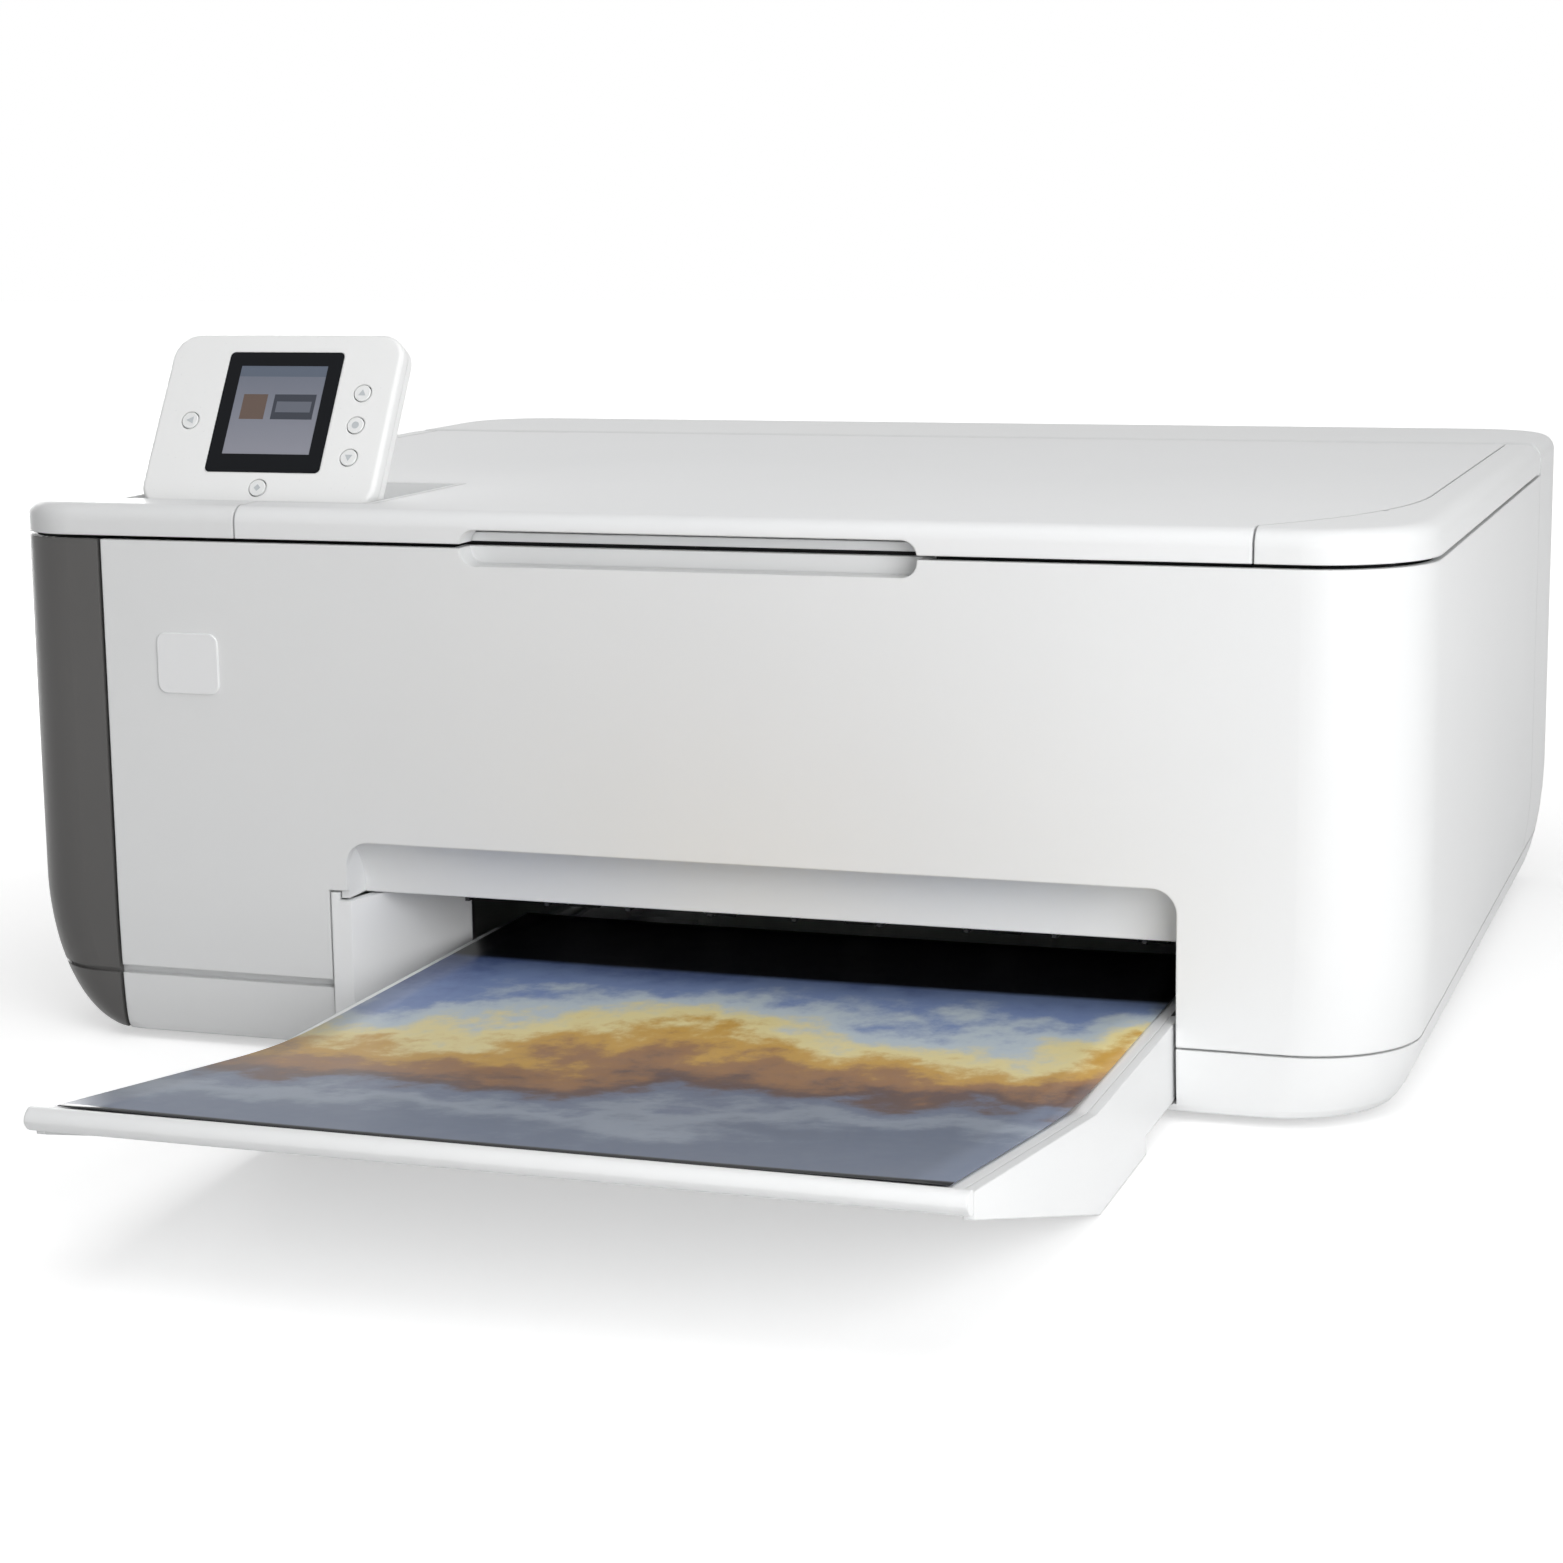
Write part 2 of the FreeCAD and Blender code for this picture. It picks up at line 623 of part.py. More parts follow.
for name, x0 in (("left_frame", -frame_x - plate_gauge), ("right_frame", frame_x)):
    plate = side_prism(frame_profile, (x0, x0 + plate_gauge))
    foot_side = (x0 + plate_gauge - frame_foot, x0 + plate_gauge) if x0 < 0 else (x0, x0 + frame_foot)
    foot_run = (exit_y - frame_front_reach, pick_y + frame_rear_reach)
    plate = plate.fuse(block(foot_side, foot_run, (pan_z, pan_z + plate_gauge)))
    for y, z in ((feed_y, feed_z), (exit_y, exit_z), (pick_y, pick_z)):
        plate = plate.cut(rod_x(bore, (x0 - 1.0, x0 + plate_gauge + 1.0), y, z))
    plate = plate.cut(rod_x(rod_radius, (x0 - 1.0, x0 + plate_gauge + 1.0), rod_y_place, rod_height))
    plate = plate.cut(rod_x(star_radius / 2.0 + running_clearance, (x0 - 1.0, x0 + plate_gauge + 1.0), exit_y, star_z))
    frames[name] = plate
motor_hole = rod_x(motor_radius / 2.0, (-frame_x - plate_gauge - 1.0, -frame_x + 1.0), pinion_y, pinion_z)
frames["left_frame"] = frames["left_frame"].cut(motor_hole)
gear_x0 = -frame_x - plate_gauge - 1.0 - gear_width
idler_stud = rod_x(shaft_radius, (gear_x0 - 1.0, -frame_x), idler_y, idler_z)
frames["left_frame"] = frames["left_frame"].fuse(idler_stud)

# Rear beam between the frames, a folded steel sheet with weight-saving holes
beam_y = front + beam_depth
beam = block((-frame_x, frame_x), (beam_y, beam_y + plate_gauge), (beam_low, beam_top))
beam_flange = block((-frame_x, frame_x), (beam_y, beam_y + 14.0), (beam_low, beam_low + plate_gauge))
beam = beam.fuse(beam_flange)
pulley_x = frame_x - pulley_inset
pulley_y = front + belt_front
hole_count = 6
hole_span = 2.0 * pulley_x - 12.0 * pulley_radius
for order in range(hole_count):
    x = -hole_span / 2.0 + hole_span * order / (hole_count - 1.0)
    beam = beam.cut(rounded_block((x - 16.0, x + 16.0), (beam_y - 1.0, beam_y + plate_gauge + 1.0),
                                  (beam_low + 12.0, belt_height - 4.0), 4.0, "y"))
motor_shaft_radius = 1.5
beam = beam.cut(rod_y(motor_radius / 2.0, -pulley_x, (beam_y - 1.0, beam_y + plate_gauge + 1.0), belt_height))
idler_pin = rod_y(motor_shaft_radius, pulley_x, (pulley_y - 1.0, beam_y), belt_height)
beam = beam.fuse(idler_pin)
save("left_frame", frames["left_frame"])
save("right_frame", frames["right_frame"])
save("rear_beam", beam)
save("guide_rod", rod_x(rod_radius, (-frame_x - plate_gauge, frame_x + plate_gauge), rod_y_place, rod_height))

# Carriage motor behind the beam, belt pulleys, toothed belt and encoder strip
motor_y = (beam_y + plate_gauge, beam_y + plate_gauge + motor_length)
shaft_depth = 6.0
shaft_bore = motor_shaft_radius + running_clearance
carriage_motor = rod_y(motor_radius, -pulley_x, motor_y, belt_height)
motor_boss = rod_y(motor_radius / 2.0 - running_clearance, -pulley_x, (beam_y, beam_y + plate_gauge), belt_height)
motor_socket = rod_y(shaft_bore, -pulley_x, (beam_y - 1.0, motor_y[0] + shaft_depth + 1.0), belt_height)
save("carriage_motor", carriage_motor.fuse(motor_boss).cut(motor_socket))
rim_gauge = 0.8


def belt_pulley(x):
    """A plain belt wheel between two rims."""
    wheel = rod_y(pulley_radius, x, (pulley_y, pulley_y + belt_width), belt_height)
    rims = []
    for rim_y in (pulley_y - rim_gauge, pulley_y + belt_width):
        rims.append(rod_y(pulley_radius + 2.0 * belt_thickness, x, (rim_y, rim_y + rim_gauge), belt_height))
    return wheel.fuse(rims)


motor_shaft = rod_y(motor_shaft_radius, -pulley_x, (pulley_y, motor_y[0] + shaft_depth), belt_height)
save("motor_pulley", belt_pulley(-pulley_x).fuse(motor_shaft))
pulley_bore = rod_y(shaft_bore, pulley_x, (pulley_y - 2.0, pulley_y + belt_width + 2.0), belt_height)
save("idler_pulley", belt_pulley(pulley_x).cut(pulley_bore))


def race_track(radius, y):
    """The loop of a belt round both pulleys."""
    return prism([
        V(-pulley_x, y[0], belt_height - radius), V(pulley_x, y[0], belt_height - radius),
        ("arc", V(pulley_x + radius, y[0], belt_height)),
        V(pulley_x, y[0], belt_height + radius), V(-pulley_x, y[0], belt_height + radius),
        ("arc", V(-pulley_x - radius, y[0], belt_height))], V(0, y[1] - y[0], 0))


belt_inner = pulley_radius + 2.0 * running_clearance
belt_y = (pulley_y + slide_clearance, pulley_y + belt_width - slide_clearance)
belt = race_track(belt_inner + belt_thickness, belt_y).cut(race_track(belt_inner, belt_y))
save("drive_belt", belt)
strip_y = rod_y_place + rod_radius + strip_gap
strip_low = rod_height + strip_rise
encoder_strip = block((-frame_x, frame_x), (strip_y, strip_y + strip_gauge), (strip_low, strip_low + strip_height))
save("encoder_strip", encoder_strip)

# Carriage: an open box with a bearing on the guide rod, a belt clip and four ink cartridges
carriage_y0 = front + carriage_front
carriage_y1 = carriage_y0 + cartridge_depth + 2.0 * carriage_wall
carriage_inner = 4.0 * cartridge_width + 5.0 * cartridge_gap
carriage_half = carriage_inner / 2.0 + carriage_wall
carriage_z0 = path_height + head_gap
carriage_floor = carriage_z0 + 2.0 * carriage_wall
carriage_z1 = carriage_floor + cartridge_height * 0.72
carriage = block((-carriage_half, carriage_half), (carriage_y0, carriage_y1), (carriage_z0, carriage_z1))
carriage_pocket = block((-carriage_inner / 2.0, carriage_inner / 2.0),
                        (carriage_y0 + carriage_wall, carriage_y1 - carriage_wall), (carriage_floor, far))
carriage = carriage.cut(carriage_pocket)
bearing = block((-carriage_half, carriage_half), (carriage_y1 - carriage_wall, rod_y_place + rod_radius / 2.0),
                (rod_height - rod_radius - 2.0 * carriage_wall, rod_height + rod_radius + 2.0 * carriage_wall))
bearing = bearing.fuse(rod_x(rod_radius + 2.0 * carriage_wall, (-carriage_half, carriage_half), rod_y_place, rod_height))
clip_z = belt_height - belt_inner - belt_thickness - slide_clearance
clip = block((-8.0, 8.0), (rod_y_place, pulley_y + belt_width - 1.0), (clip_z - 3.0, clip_z))
carriage = carriage.fuse([bearing, clip])
carriage = carriage.cut(rod_x(rod_radius + running_clearance, (-far, far), rod_y_place, rod_height))
save("carriage", carriage)
inks = ("ink_black", "ink_cyan", "ink_magenta", "ink_yellow")
for order, name in enumerate(inks):
    x0 = -carriage_inner / 2.0 + cartridge_gap + order * (cartridge_width + cartridge_gap)
    x1 = x0 + cartridge_width
    y0 = carriage_y0 + carriage_wall + cartridge_gap / 2.0
    y1 = carriage_y1 - carriage_wall - cartridge_gap / 2.0
    tank = side_prism([
        (y0, carriage_floor), (y1, carriage_floor), (y1, carriage_floor + cartridge_height),
        (y0 + 8.0, carriage_floor + cartridge_height), (y0, carriage_floor + cartridge_height - 8.0)], (x0, x1))
    thumb = block((x0 + 3.0, x1 - 3.0), (y0 + 10.0, y0 + 14.0),
                  (carriage_floor + cartridge_height, carriage_floor + cartridge_height + 3.0))
    save(name, tank.fuse(thumb))


def gear(teeth, x0, y, z, bore_radius, turn):
    """A spur gear on an X axis with straight-flanked teeth; turn sets where its first tooth points."""
    r = pitch_radius(teeth)
    step = 2.0 * math.pi / teeth
    corners = ((r - 1.05 * gear_module, -0.34), (r + 0.8 * gear_module, -0.11),
               (r + 0.8 * gear_module, 0.11), (r - 1.05 * gear_module, 0.34))
    points = []
    for tooth in range(teeth):
        for radius, share in corners:
            angle = math.radians(turn) + (tooth + share) * step
            points.append(V(x0, y + radius * math.cos(angle), z + radius * math.sin(angle)))
    wheel = prism(points, V(gear_width, 0, 0))
    if bore_radius > 0.0:
        wheel = wheel.cut(rod_x(bore_radius, (x0 - 1.0, x0 + gear_width + 1.0), y, z))
    return wheel


def facing(y, z, to_y, to_z):
    """The direction in degrees from one axis to another."""
    return math.degrees(math.atan2(to_z - z, to_y - y))


def meshed(teeth, own, driver_teeth, driver, driver_turn):
    """The turn that puts a gap of one gear over a tooth of its driver."""
    toward = facing(driver[0], driver[1], own[0], own[1])
    driver_phase = (toward - driver_turn) * driver_teeth / 360.0
    back = toward + 180.0
    return back + (driver_phase + 0.5) * 360.0 / teeth


feed_turn = 0.0
pinion_turn = meshed(pinion_teeth, (pinion_y, pinion_z), feed_teeth, (feed_y, feed_z), feed_turn)
idler_turn = meshed(idler_teeth, (idler_y, idler_z), feed_teeth, (feed_y, feed_z), feed_turn)
exit_turn = meshed(exit_teeth, (exit_y, exit_z), idler_teeth, (idler_y, idler_z), idler_turn)
pick_turn = meshed(pick_teeth, (pick_y, pick_z), pinion_teeth, (pinion_y, pinion_z), pinion_turn)
save("feed_gear", gear(feed_teeth, gear_x0, feed_y, feed_z, shaft_radius, feed_turn))
save("exit_gear", gear(exit_teeth, gear_x0, exit_y, exit_z, shaft_radius, exit_turn))
save("pick_gear", gear(pick_teeth, gear_x0, pick_y, pick_z, shaft_radius, pick_turn))
save("idler_gear", gear(idler_teeth, gear_x0, idler_y, idler_z, shaft_radius + running_clearance, idler_turn))
pinion = gear(pinion_teeth, gear_x0, pinion_y, pinion_z, 0.0, pinion_turn)
pinion_shaft = rod_x(motor_shaft_radius, (gear_x0, -frame_x + shaft_depth), pinion_y, pinion_z)
save("motor_pinion", pinion.fuse(pinion_shaft))
feed_motor = rod_x(motor_radius, (-frame_x, -frame_x + motor_length), pinion_y, pinion_z)
feed_boss = rod_x(motor_radius / 2.0 - running_clearance, (-frame_x - plate_gauge, -frame_x), pinion_y, pinion_z)
feed_socket = rod_x(shaft_bore, (-frame_x - plate_gauge - 1.0, -frame_x + shaft_depth + 1.0), pinion_y, pinion_z)
save("feed_motor", feed_motor.fuse(feed_boss).cut(feed_socket))

# Rollers on steel shafts: feed sleeve, exit tyres, pick tyres and the star wheel shaft over the exit
shaft_span = (gear_x0 - 1.0, frame_x + plate_gauge + 2.0)
feed_roller = rod_x(shaft_radius, shaft_span, feed_y, feed_z)
feed_sleeve = rod_x(feed_radius, (tray_left, tray_right), feed_y, feed_z)
save("feed_roller", feed_roller.fuse(feed_sleeve))
exit_roller = rod_x(shaft_radius, shaft_span, exit_y, exit_z)
pick_roller = rod_x(shaft_radius, shaft_span, pick_y, pick_z)
star_shaft = rod_x(star_radius / 2.0, (-frame_x - plate_gauge, frame_x + plate_gauge), exit_y, star_z)
tyre_count = 5
tyre_width = 9.0
for order in range(tyre_count):
    x = tray_left + (tray_right - tray_left) * (order + 0.5) / tyre_count
    exit_roller = exit_roller.fuse(rod_x(exit_tyre_radius, (x - tyre_width / 2.0, x + tyre_width / 2.0), exit_y, exit_z))
    star_shaft = star_shaft.fuse(rod_x(star_radius, (x - 0.8, x + 0.8), exit_y, star_z))
sheet_mid = (tray_left + tray_right) / 2.0
for x in (sheet_mid - pick_spread, sheet_mid + pick_spread):
    pick_roller = pick_roller.fuse(rod_x(pick_tyre_radius, (x - tyre_width, x + tyre_width), pick_y, pick_z))
save("exit_roller", exit_roller)
save("pick_roller", pick_roller)
save("star_wheel_shaft", star_shaft)

# Platen: a ribbed black plate under the print head, on two end posts
platen_y = (exit_y + exit_tyre_radius + 2.0, feed_y - feed_radius - 2.0)
platen_top = path_height - slide_clearance
platen_x = (-frame_x, frame_x)
platen = block(platen_x, platen_y, (platen_top - 6.0, platen_top - 3.0))
platen_rib_count = 13
for order in range(platen_rib_count):
    x = tray_left + (tray_right - tray_left) * order / (platen_rib_count - 1.0)
    rib_block = block((x - 1.0, x + 1.0), (platen_y[0] + 2.0, platen_y[1] - 2.0), (platen_top - 3.0, platen_top))
    platen = platen.fuse(rib_block)
save("platen", platen)

# Service station beside the paper: a tub with four rubber caps for the nozzles
station_x = (opening_right + wall + 2.0 * hairline, frame_x - hairline)
station_z = platen_top - 6.0 - hairline
station = block(station_x, (platen_y[0], platen_y[1]), (pan_z, station_z))
station = station.cut(block((station_x[0] + wall, station_x[1] - wall), (platen_y[0] + wall, platen_y[1] - wall),
                            (pan_z + wall, far)))
cap_count = 4
for order in range(cap_count):
    y = platen_y[0] + (platen_y[1] - platen_y[0]) * (order + 0.5) / cap_count
    cap = block((station_x[0] + 2.0 * wall, station_x[1] - 2.0 * wall), (y - 2.4, y + 2.4), (pan_z, station_z - 3.0))
    station = station.fuse(cap.cut(block((station_x[0] + 2.8 * wall, station_x[1] - 2.8 * wall), (y - 1.4, y + 1.4),
                                         (station_z - 6.0, far))))
save("service_station", station)

# Main board on the right frame, with its chips and sockets
board_x = frame_x + plate_gauge + board_standoff
board_y = (front + beam_depth - board_length, front + beam_depth)
board_z = (path_height + 14.0, path_height + 14.0 + board_height)
board = block((board_x, board_x + board_thickness), board_y, board_z)
chip_spots = ((0.25, 0.3, 20.0, 3.0), (0.6, 0.35, 14.0, 2.5), (0.75, 0.72, 24.0, 6.0), (0.3, 0.75, 12.0, 7.0))
for share_y, share_z, size, tall in chip_spots:
    y = board_y[0] + board_length * share_y
    z = board_z[0] + board_height * share_z
    board = board.fuse(block((board_x + board_thickness, board_x + board_thickness + tall),
                             (y - size / 2.0, y + size / 2.0), (z - size / 4.0, z + size / 4.0)))
for y in (board_y[0] + 8.0, board_y[1] - 8.0):
    standoff = rod_x(2.5, (frame_x + plate_gauge, board_x), y, board_z[0] + 8.0)
    board = board.fuse(standoff)
save("main_board", board)

# Scanner unit: deck with raised rails and corner caps; the lid fits between them
unit_block = hull.common(block(everywhere, (-far, split_y - hinge_front_gap), (unit_low, far)))
lid_rear = split_y - hinge_front_gap
rail_x = half - rail_width
notch_right = panel_left + panel_width + well_margin
notch_rear = front + panel_axis_depth - panel_heel + panel_length + well_margin
strip_rear = front + panel_axis_depth - panel_heel - well_margin - wall


def lid_plan(grow, z):
    """The outline of the lid, grown by a gap: its right front corner sweeps out and the display leaves a notch."""
    sweep = V((lip_right + rail_x) / 2.0 + 6.0 + grow, front + corner_run * 0.45 - grow, z)
    return [
        V(lip_left - grow, front - wall, z), V(lip_right + grow, front - wall, z),
        V(lip_right + grow, front + lid_lip_depth - grow, z), ("arc", sweep),
        V(rail_x + grow, front + corner_run, z), V(rail_x + grow, lid_rear + (2.0 * wall if grow else 0.0), z),
        V(-rail_x - grow, lid_rear + (2.0 * wall if grow else 0.0), z), V(-rail_x - grow, notch_rear - grow, z),
        V(notch_right - grow, notch_rear - grow, z), V(notch_right - grow, strip_rear + grow, z),
        V(lip_left - grow, strip_rear + grow, z)]


lid_room = prism(lid_plan(hairline, deck_top), V(0, 0, far))
lip_room = block((lip_left - hairline, lip_right + hairline), (front - wall, front + lid_lip_depth + hairline), (0.0, far))
glass_x = (notch_right + glass_side_gap, half - glass_right_inset)
glass_y = (front + glass_front, front + glass_front + glass_depth)
glass_hole = block((glass_x[0] - slide_clearance, glass_x[1] + slide_clearance),
                   (glass_y[0] - slide_clearance, glass_y[1] + slide_clearance), (0.0, far))
panel_axis_y = front + panel_axis_depth
panel_axis_z = lid_top - panel_axis_drop
well_x = (panel_left - well_margin, panel_left + panel_width + well_margin - wall)
well_y = (panel_axis_y - panel_heel - well_margin, panel_axis_y - panel_heel + panel_length + well_margin - wall)
well = block(well_x, well_y, (unit_low + well_floor, far))
scanner_frame = unit_block.cut(lid_room).cut(lip_room).cut(glass_hole).cut(well)
trunnion_bore = rod_x(trunnion_radius + running_clearance, (panel_left - well_margin - wall, notch_right + wall),
                      panel_axis_y, panel_axis_z)
scanner_frame = scanner_frame.cut(trunnion_bore)
for x in knuckles["unit"]:
    arm_low = block(x, (lid_rear - 4.0, axis_y + knuckle_radius / 2.0), (unit_low, deck_top))
    arm_up = block(x, (axis_y - knuckle_radius / 2.0, axis_y + knuckle_radius / 2.0), (unit_low, axis_z))
    scanner_frame = scanner_frame.fuse([arm_low, arm_up, rod_x(knuckle_radius, x, axis_y, axis_z)])
    scanner_frame = scanner_frame.cut(rod_x(pin_bore, (x[0] - 1.0, x[1] + 1.0), axis_y, axis_z))
save("scanner_frame", scanner_frame)

# Scanner tub hung under the deck, its glass, the scan bar and the rail it slides on
tub_x = (-half + tub_left_inset, half - wall - tub_right_gap)
tub_y = (front + tub_front, split_y - tub_rear_gap)
tub_z = top_seam - tub_depth
tub = block(tub_x, tub_y, (tub_z, unit_low))
tub = tub.cut(block((tub_x[0] + tub_wall, tub_x[1] - tub_wall), (tub_y[0] + tub_wall, tub_y[1] - tub_wall),
                    (tub_z + tub_wall, unit_low - tub_wall)))
tub = tub.cut(block((glass_x[0] + glass_ledge, glass_x[1] - glass_ledge),
                    (glass_y[0] + glass_ledge, glass_y[1] - glass_ledge), (tub_z + tub_wall, far)))
rail_y = (glass_y[0] + glass_y[1]) / 2.0
rail_z = tub_z + tub_wall + 7.0
rail_rod_radius = 3.0
tub = tub.cut(rod_x(rail_rod_radius, (tub_x[0] - 1.0, tub_x[1] + 1.0), rail_y, rail_z))
save("scanner_tub", tub)
save("scan_rail", rod_x(rail_rod_radius, tub_x, rail_y, rail_z))
save("scanner_glass", block(glass_x, glass_y, (unit_low, deck_top)))
bar_width = 18.0
bar_x = (glass_x[0] + glass_ledge + 2.0, glass_x[0] + glass_ledge + 2.0 + bar_width)
bar_z = (rail_z + rail_rod_radius + 1.0, unit_low - tub_wall - slide_clearance * 2.0)
scan_bar = block(bar_x, (glass_y[0] + glass_ledge, glass_y[1] - glass_ledge), bar_z)
slot_x = (bar_x[0] + bar_width / 2.0 - 2.0, bar_x[0] + bar_width / 2.0 + 2.0)
scan_bar = scan_bar.cut(block(slot_x, (glass_y[0] + 8.0, glass_y[1] - 8.0), (bar_z[1] - 2.0, far)))
shoe = block(bar_x, (rail_y - 8.0, rail_y + 8.0), (rail_z - rail_rod_radius - 1.5, bar_z[0]))
scan_bar = scan_bar.fuse(shoe).cut(rod_x(rail_rod_radius + running_clearance, everywhere, rail_y, rail_z))
save("scan_bar", scan_bar)

# Lid: a flat plate with a rolled front lip, a finger grip and two hinge knuckles
lid_plate = hull.common(prism(lid_plan(0.0, lid_low), V(0, 0, far)))
lip_solid = hull.common(block((lip_left, lip_right), (front - wall, front + lid_lip_depth), (unit_low, far)))
lid_grip = rounded_block((grip_left, grip_right), (front - wall, front + lid_lip_depth + wall),
                         (unit_low - 3.0 * grip_radius, unit_low + grip_rise), grip_radius, "y")
lid = lid_plate.fuse(lip_solid.cut(lid_grip))
for x in knuckles["unit"] + knuckles["deck"]:
    lid = lid.cut(block((x[0] - knuckle_gap, x[1] + knuckle_gap), (axis_y - knuckle_room, far), (0.0, far)))
for x in knuckles["lid"]:
    arm = block(x, (lid_rear - 4.0, axis_y), (lid_low, lid_top - hinge_drop + knuckle_radius / 2.0))
    lid = lid.fuse([arm, rod_x(knuckle_radius, x, axis_y, axis_z)])
    lid = lid.cut(rod_x(pin_bore, (x[0] - 1.0, x[1] + 1.0), axis_y, axis_z))
save("lid", lid)
lid_pad = rounded_block((glass_x[0] + glass_ledge, glass_x[1] - glass_ledge - 4.0),
                        (glass_y[0] + glass_ledge, glass_y[1] - glass_ledge),
                        (deck_top + slide_clearance, lid_low), 4.0, "z")
save("lid_pad", lid_pad)

# Display: front and back shells, black bezel, screen and five keys, drawn flat and then raised
panel_x = (panel_left, panel_left + panel_width)
panel_y = (panel_axis_y - panel_heel, panel_axis_y - panel_heel + panel_length)
face_z = panel_axis_z + panel_face
back_z = face_z - panel_thickness
parting_z = face_z - panel_front_share
panel = rounded_block(panel_x, panel_y, (back_z, face_z), panel_radius, "z")
panel = panel.makeFillet(panel_edge, top_edges(panel, face_z) + top_edges(panel, back_z))
trunnion = rod_x(trunnion_radius, (panel_x[0] - trunnion_length, panel_x[1] + trunnion_length), panel_axis_y, panel_axis_z)
bezel_x = (panel_x[0] + bezel_left, panel_x[0] + bezel_left + bezel_width)
bezel_y = (panel_y[0] + bezel_bottom, panel_y[0] + bezel_bottom + bezel_length)
bezel_room = rounded_block(bezel_x, bezel_y, (face_z - bezel_thickness, face_z + wall), 1.5, "z")
bezel = rounded_block((bezel_x[0] + running_clearance, bezel_x[1] - running_clearance),
                      (bezel_y[0] + running_clearance, bezel_y[1] - running_clearance),
                      (face_z - bezel_thickness, face_z + 0.15), 1.5, "z")
screen_x = (bezel_x[0] + screen_margin, bezel_x[1] - screen_margin)
screen_y = (bezel_y[0] + screen_margin + 1.4, bezel_y[1] - screen_margin)
bezel = bezel.cut(block(screen_x, screen_y, (face_z + 0.15 - screen_thickness, far)))
screen = block(screen_x, screen_y, (face_z + 0.15 - screen_thickness, face_z + 0.05))
key_spots = (
    ("key_back", bezel_x[0] - 8.6, panel_y[0] + 28.4),
    ("key_up", bezel_x[1] + 8.6, panel_y[0] + 38.0),
    ("key_ok", bezel_x[1] + 8.6, panel_y[0] + 27.4),
    ("key_down", bezel_x[1] + 8.6, panel_y[0] + 16.8),
    ("key_start", (bezel_x[0] + bezel_x[1]) / 2.0, panel_y[0] + 6.4))
display_front = panel.common(block(everywhere, everywhere, (parting_z, far))).fuse(trunnion).cut(bezel_room)
display_back = panel.common(block(everywhere, everywhere, (0.0, parting_z))).cut(trunnion)
raised = []
for name, x, y in key_spots:
    pocket = rod_z(key_radius + key_clearance, x, y, (face_z - key_pocket, face_z + wall))
    display_front = display_front.cut(pocket)
    key = rod_z(key_radius, x, y, (face_z + key_proud - key_length, face_z + key_proud))
    raised.append((name, key.makeFillet(key_proud * 0.8, top_edges(key, face_z + key_proud))))
raised += [("display_front", display_front), ("display_back", display_back), ("display_bezel", bezel),
           ("display_screen", screen)]
for name, shape in raised:
    shape.rotate(V(0, panel_axis_y, panel_axis_z), V(1, 0, 0), panel_tilt)
    save(name, shape)

# Paper tray: a scoop with two cheeks in front and a shallow pan that reaches into the body
tray_slope = math.atan2(tray_tip - tray_level, tray_reach - tray_bend)
tip_y = front - tray_reach
cheek_tip_y = tip_y + lip_depth + slide_clearance


def tray_line(y, drop):
    """Height of the tray's top edge at y, lowered by a drop: level at the back, then a ramp to the front tip."""
    bend_y = front - tray_bend
    if y >= bend_y:
        return tray_level - drop
    return tray_level - drop + (bend_y - y) * math.tan(tray_slope)


def tray_points(y0, y1, drop, lower):
    """A bent strip between two y values, from a drop below the tray's edge to a lower drop."""
    bend_y = front - tray_bend
    return [
        (y1, tray_line(y1, drop)), (bend_y, tray_level - drop), (y0, tray_line(y0, drop)),
        (y0, tray_line(y0, lower)), (bend_y, tray_level - lower), (y1, tray_line(y1, lower))]


pan_low = pan_z + pan_floor_clearance
foot_low = tray_foot_clearance
tip_low = tray_tip - lip_height
ramp = (tip_low - foot_low) / (tray_reach - tray_foot_front)
cheek_tip_low = foot_low + (front - tray_foot_front - cheek_tip_y) * ramp
tray_side = [
    (front + pan_depth, pan_low), (front + pan_depth, pan_top), (front + exit_depth / 8.0, pan_top),
    (front + exit_depth / 8.0, tray_line(front, 0.0)), (front - tray_bend, tray_level),
    (cheek_tip_y, tray_line(cheek_tip_y, 0.0)), (cheek_tip_y, cheek_tip_low),
    (front - tray_foot_front, foot_low), (front - tray_foot_rear, foot_low), (front - tray_foot_rear, pan_low)]
cassette = side_prism(tray_side, (tray_left, tray_right))
inner_side = [
    (front + pan_depth - cheek, pan_low + cheek), (front + pan_depth - cheek, far), (tip_y - far, far),
    (tip_y - far, foot_low + cheek + (tray_reach + far - tray_foot_front) * ramp),
    (front - tray_foot_front - cheek * ramp, foot_low + cheek),
    (front - tray_foot_rear - cheek, foot_low + cheek), (front - tray_foot_rear - cheek, pan_low + cheek)]
cassette = cassette.cut(side_prism(inner_side, (tray_left + cheek, tray_right - cheek)))
floor_end_y = front - tray_foot_front - (tray_reach - tray_foot_front) * 0.7
cassette = cassette.cut(block((tray_left + cheek, tray_right - cheek), (tip_y - wall, floor_end_y), (-wall, far)))
ledge_drop = plate_drop + plate_thickness
ledge = side_prism(tray_points(cheek_tip_y, front, ledge_drop, ledge_drop + cheek), (tray_left, tray_left + 2.0 * cheek))
ledge_right = side_prism(tray_points(cheek_tip_y, front, ledge_drop, ledge_drop + cheek),
                         (tray_right - 2.0 * cheek, tray_right))
cassette = cassette.fuse([ledge, ledge_right])
left_step_points = tray_points(tip_y, front + exit_depth / 8.0 + wall, -wall, ledge_drop)
left_step = side_prism(left_step_points, (tray_left - wall, tray_left + cheek))
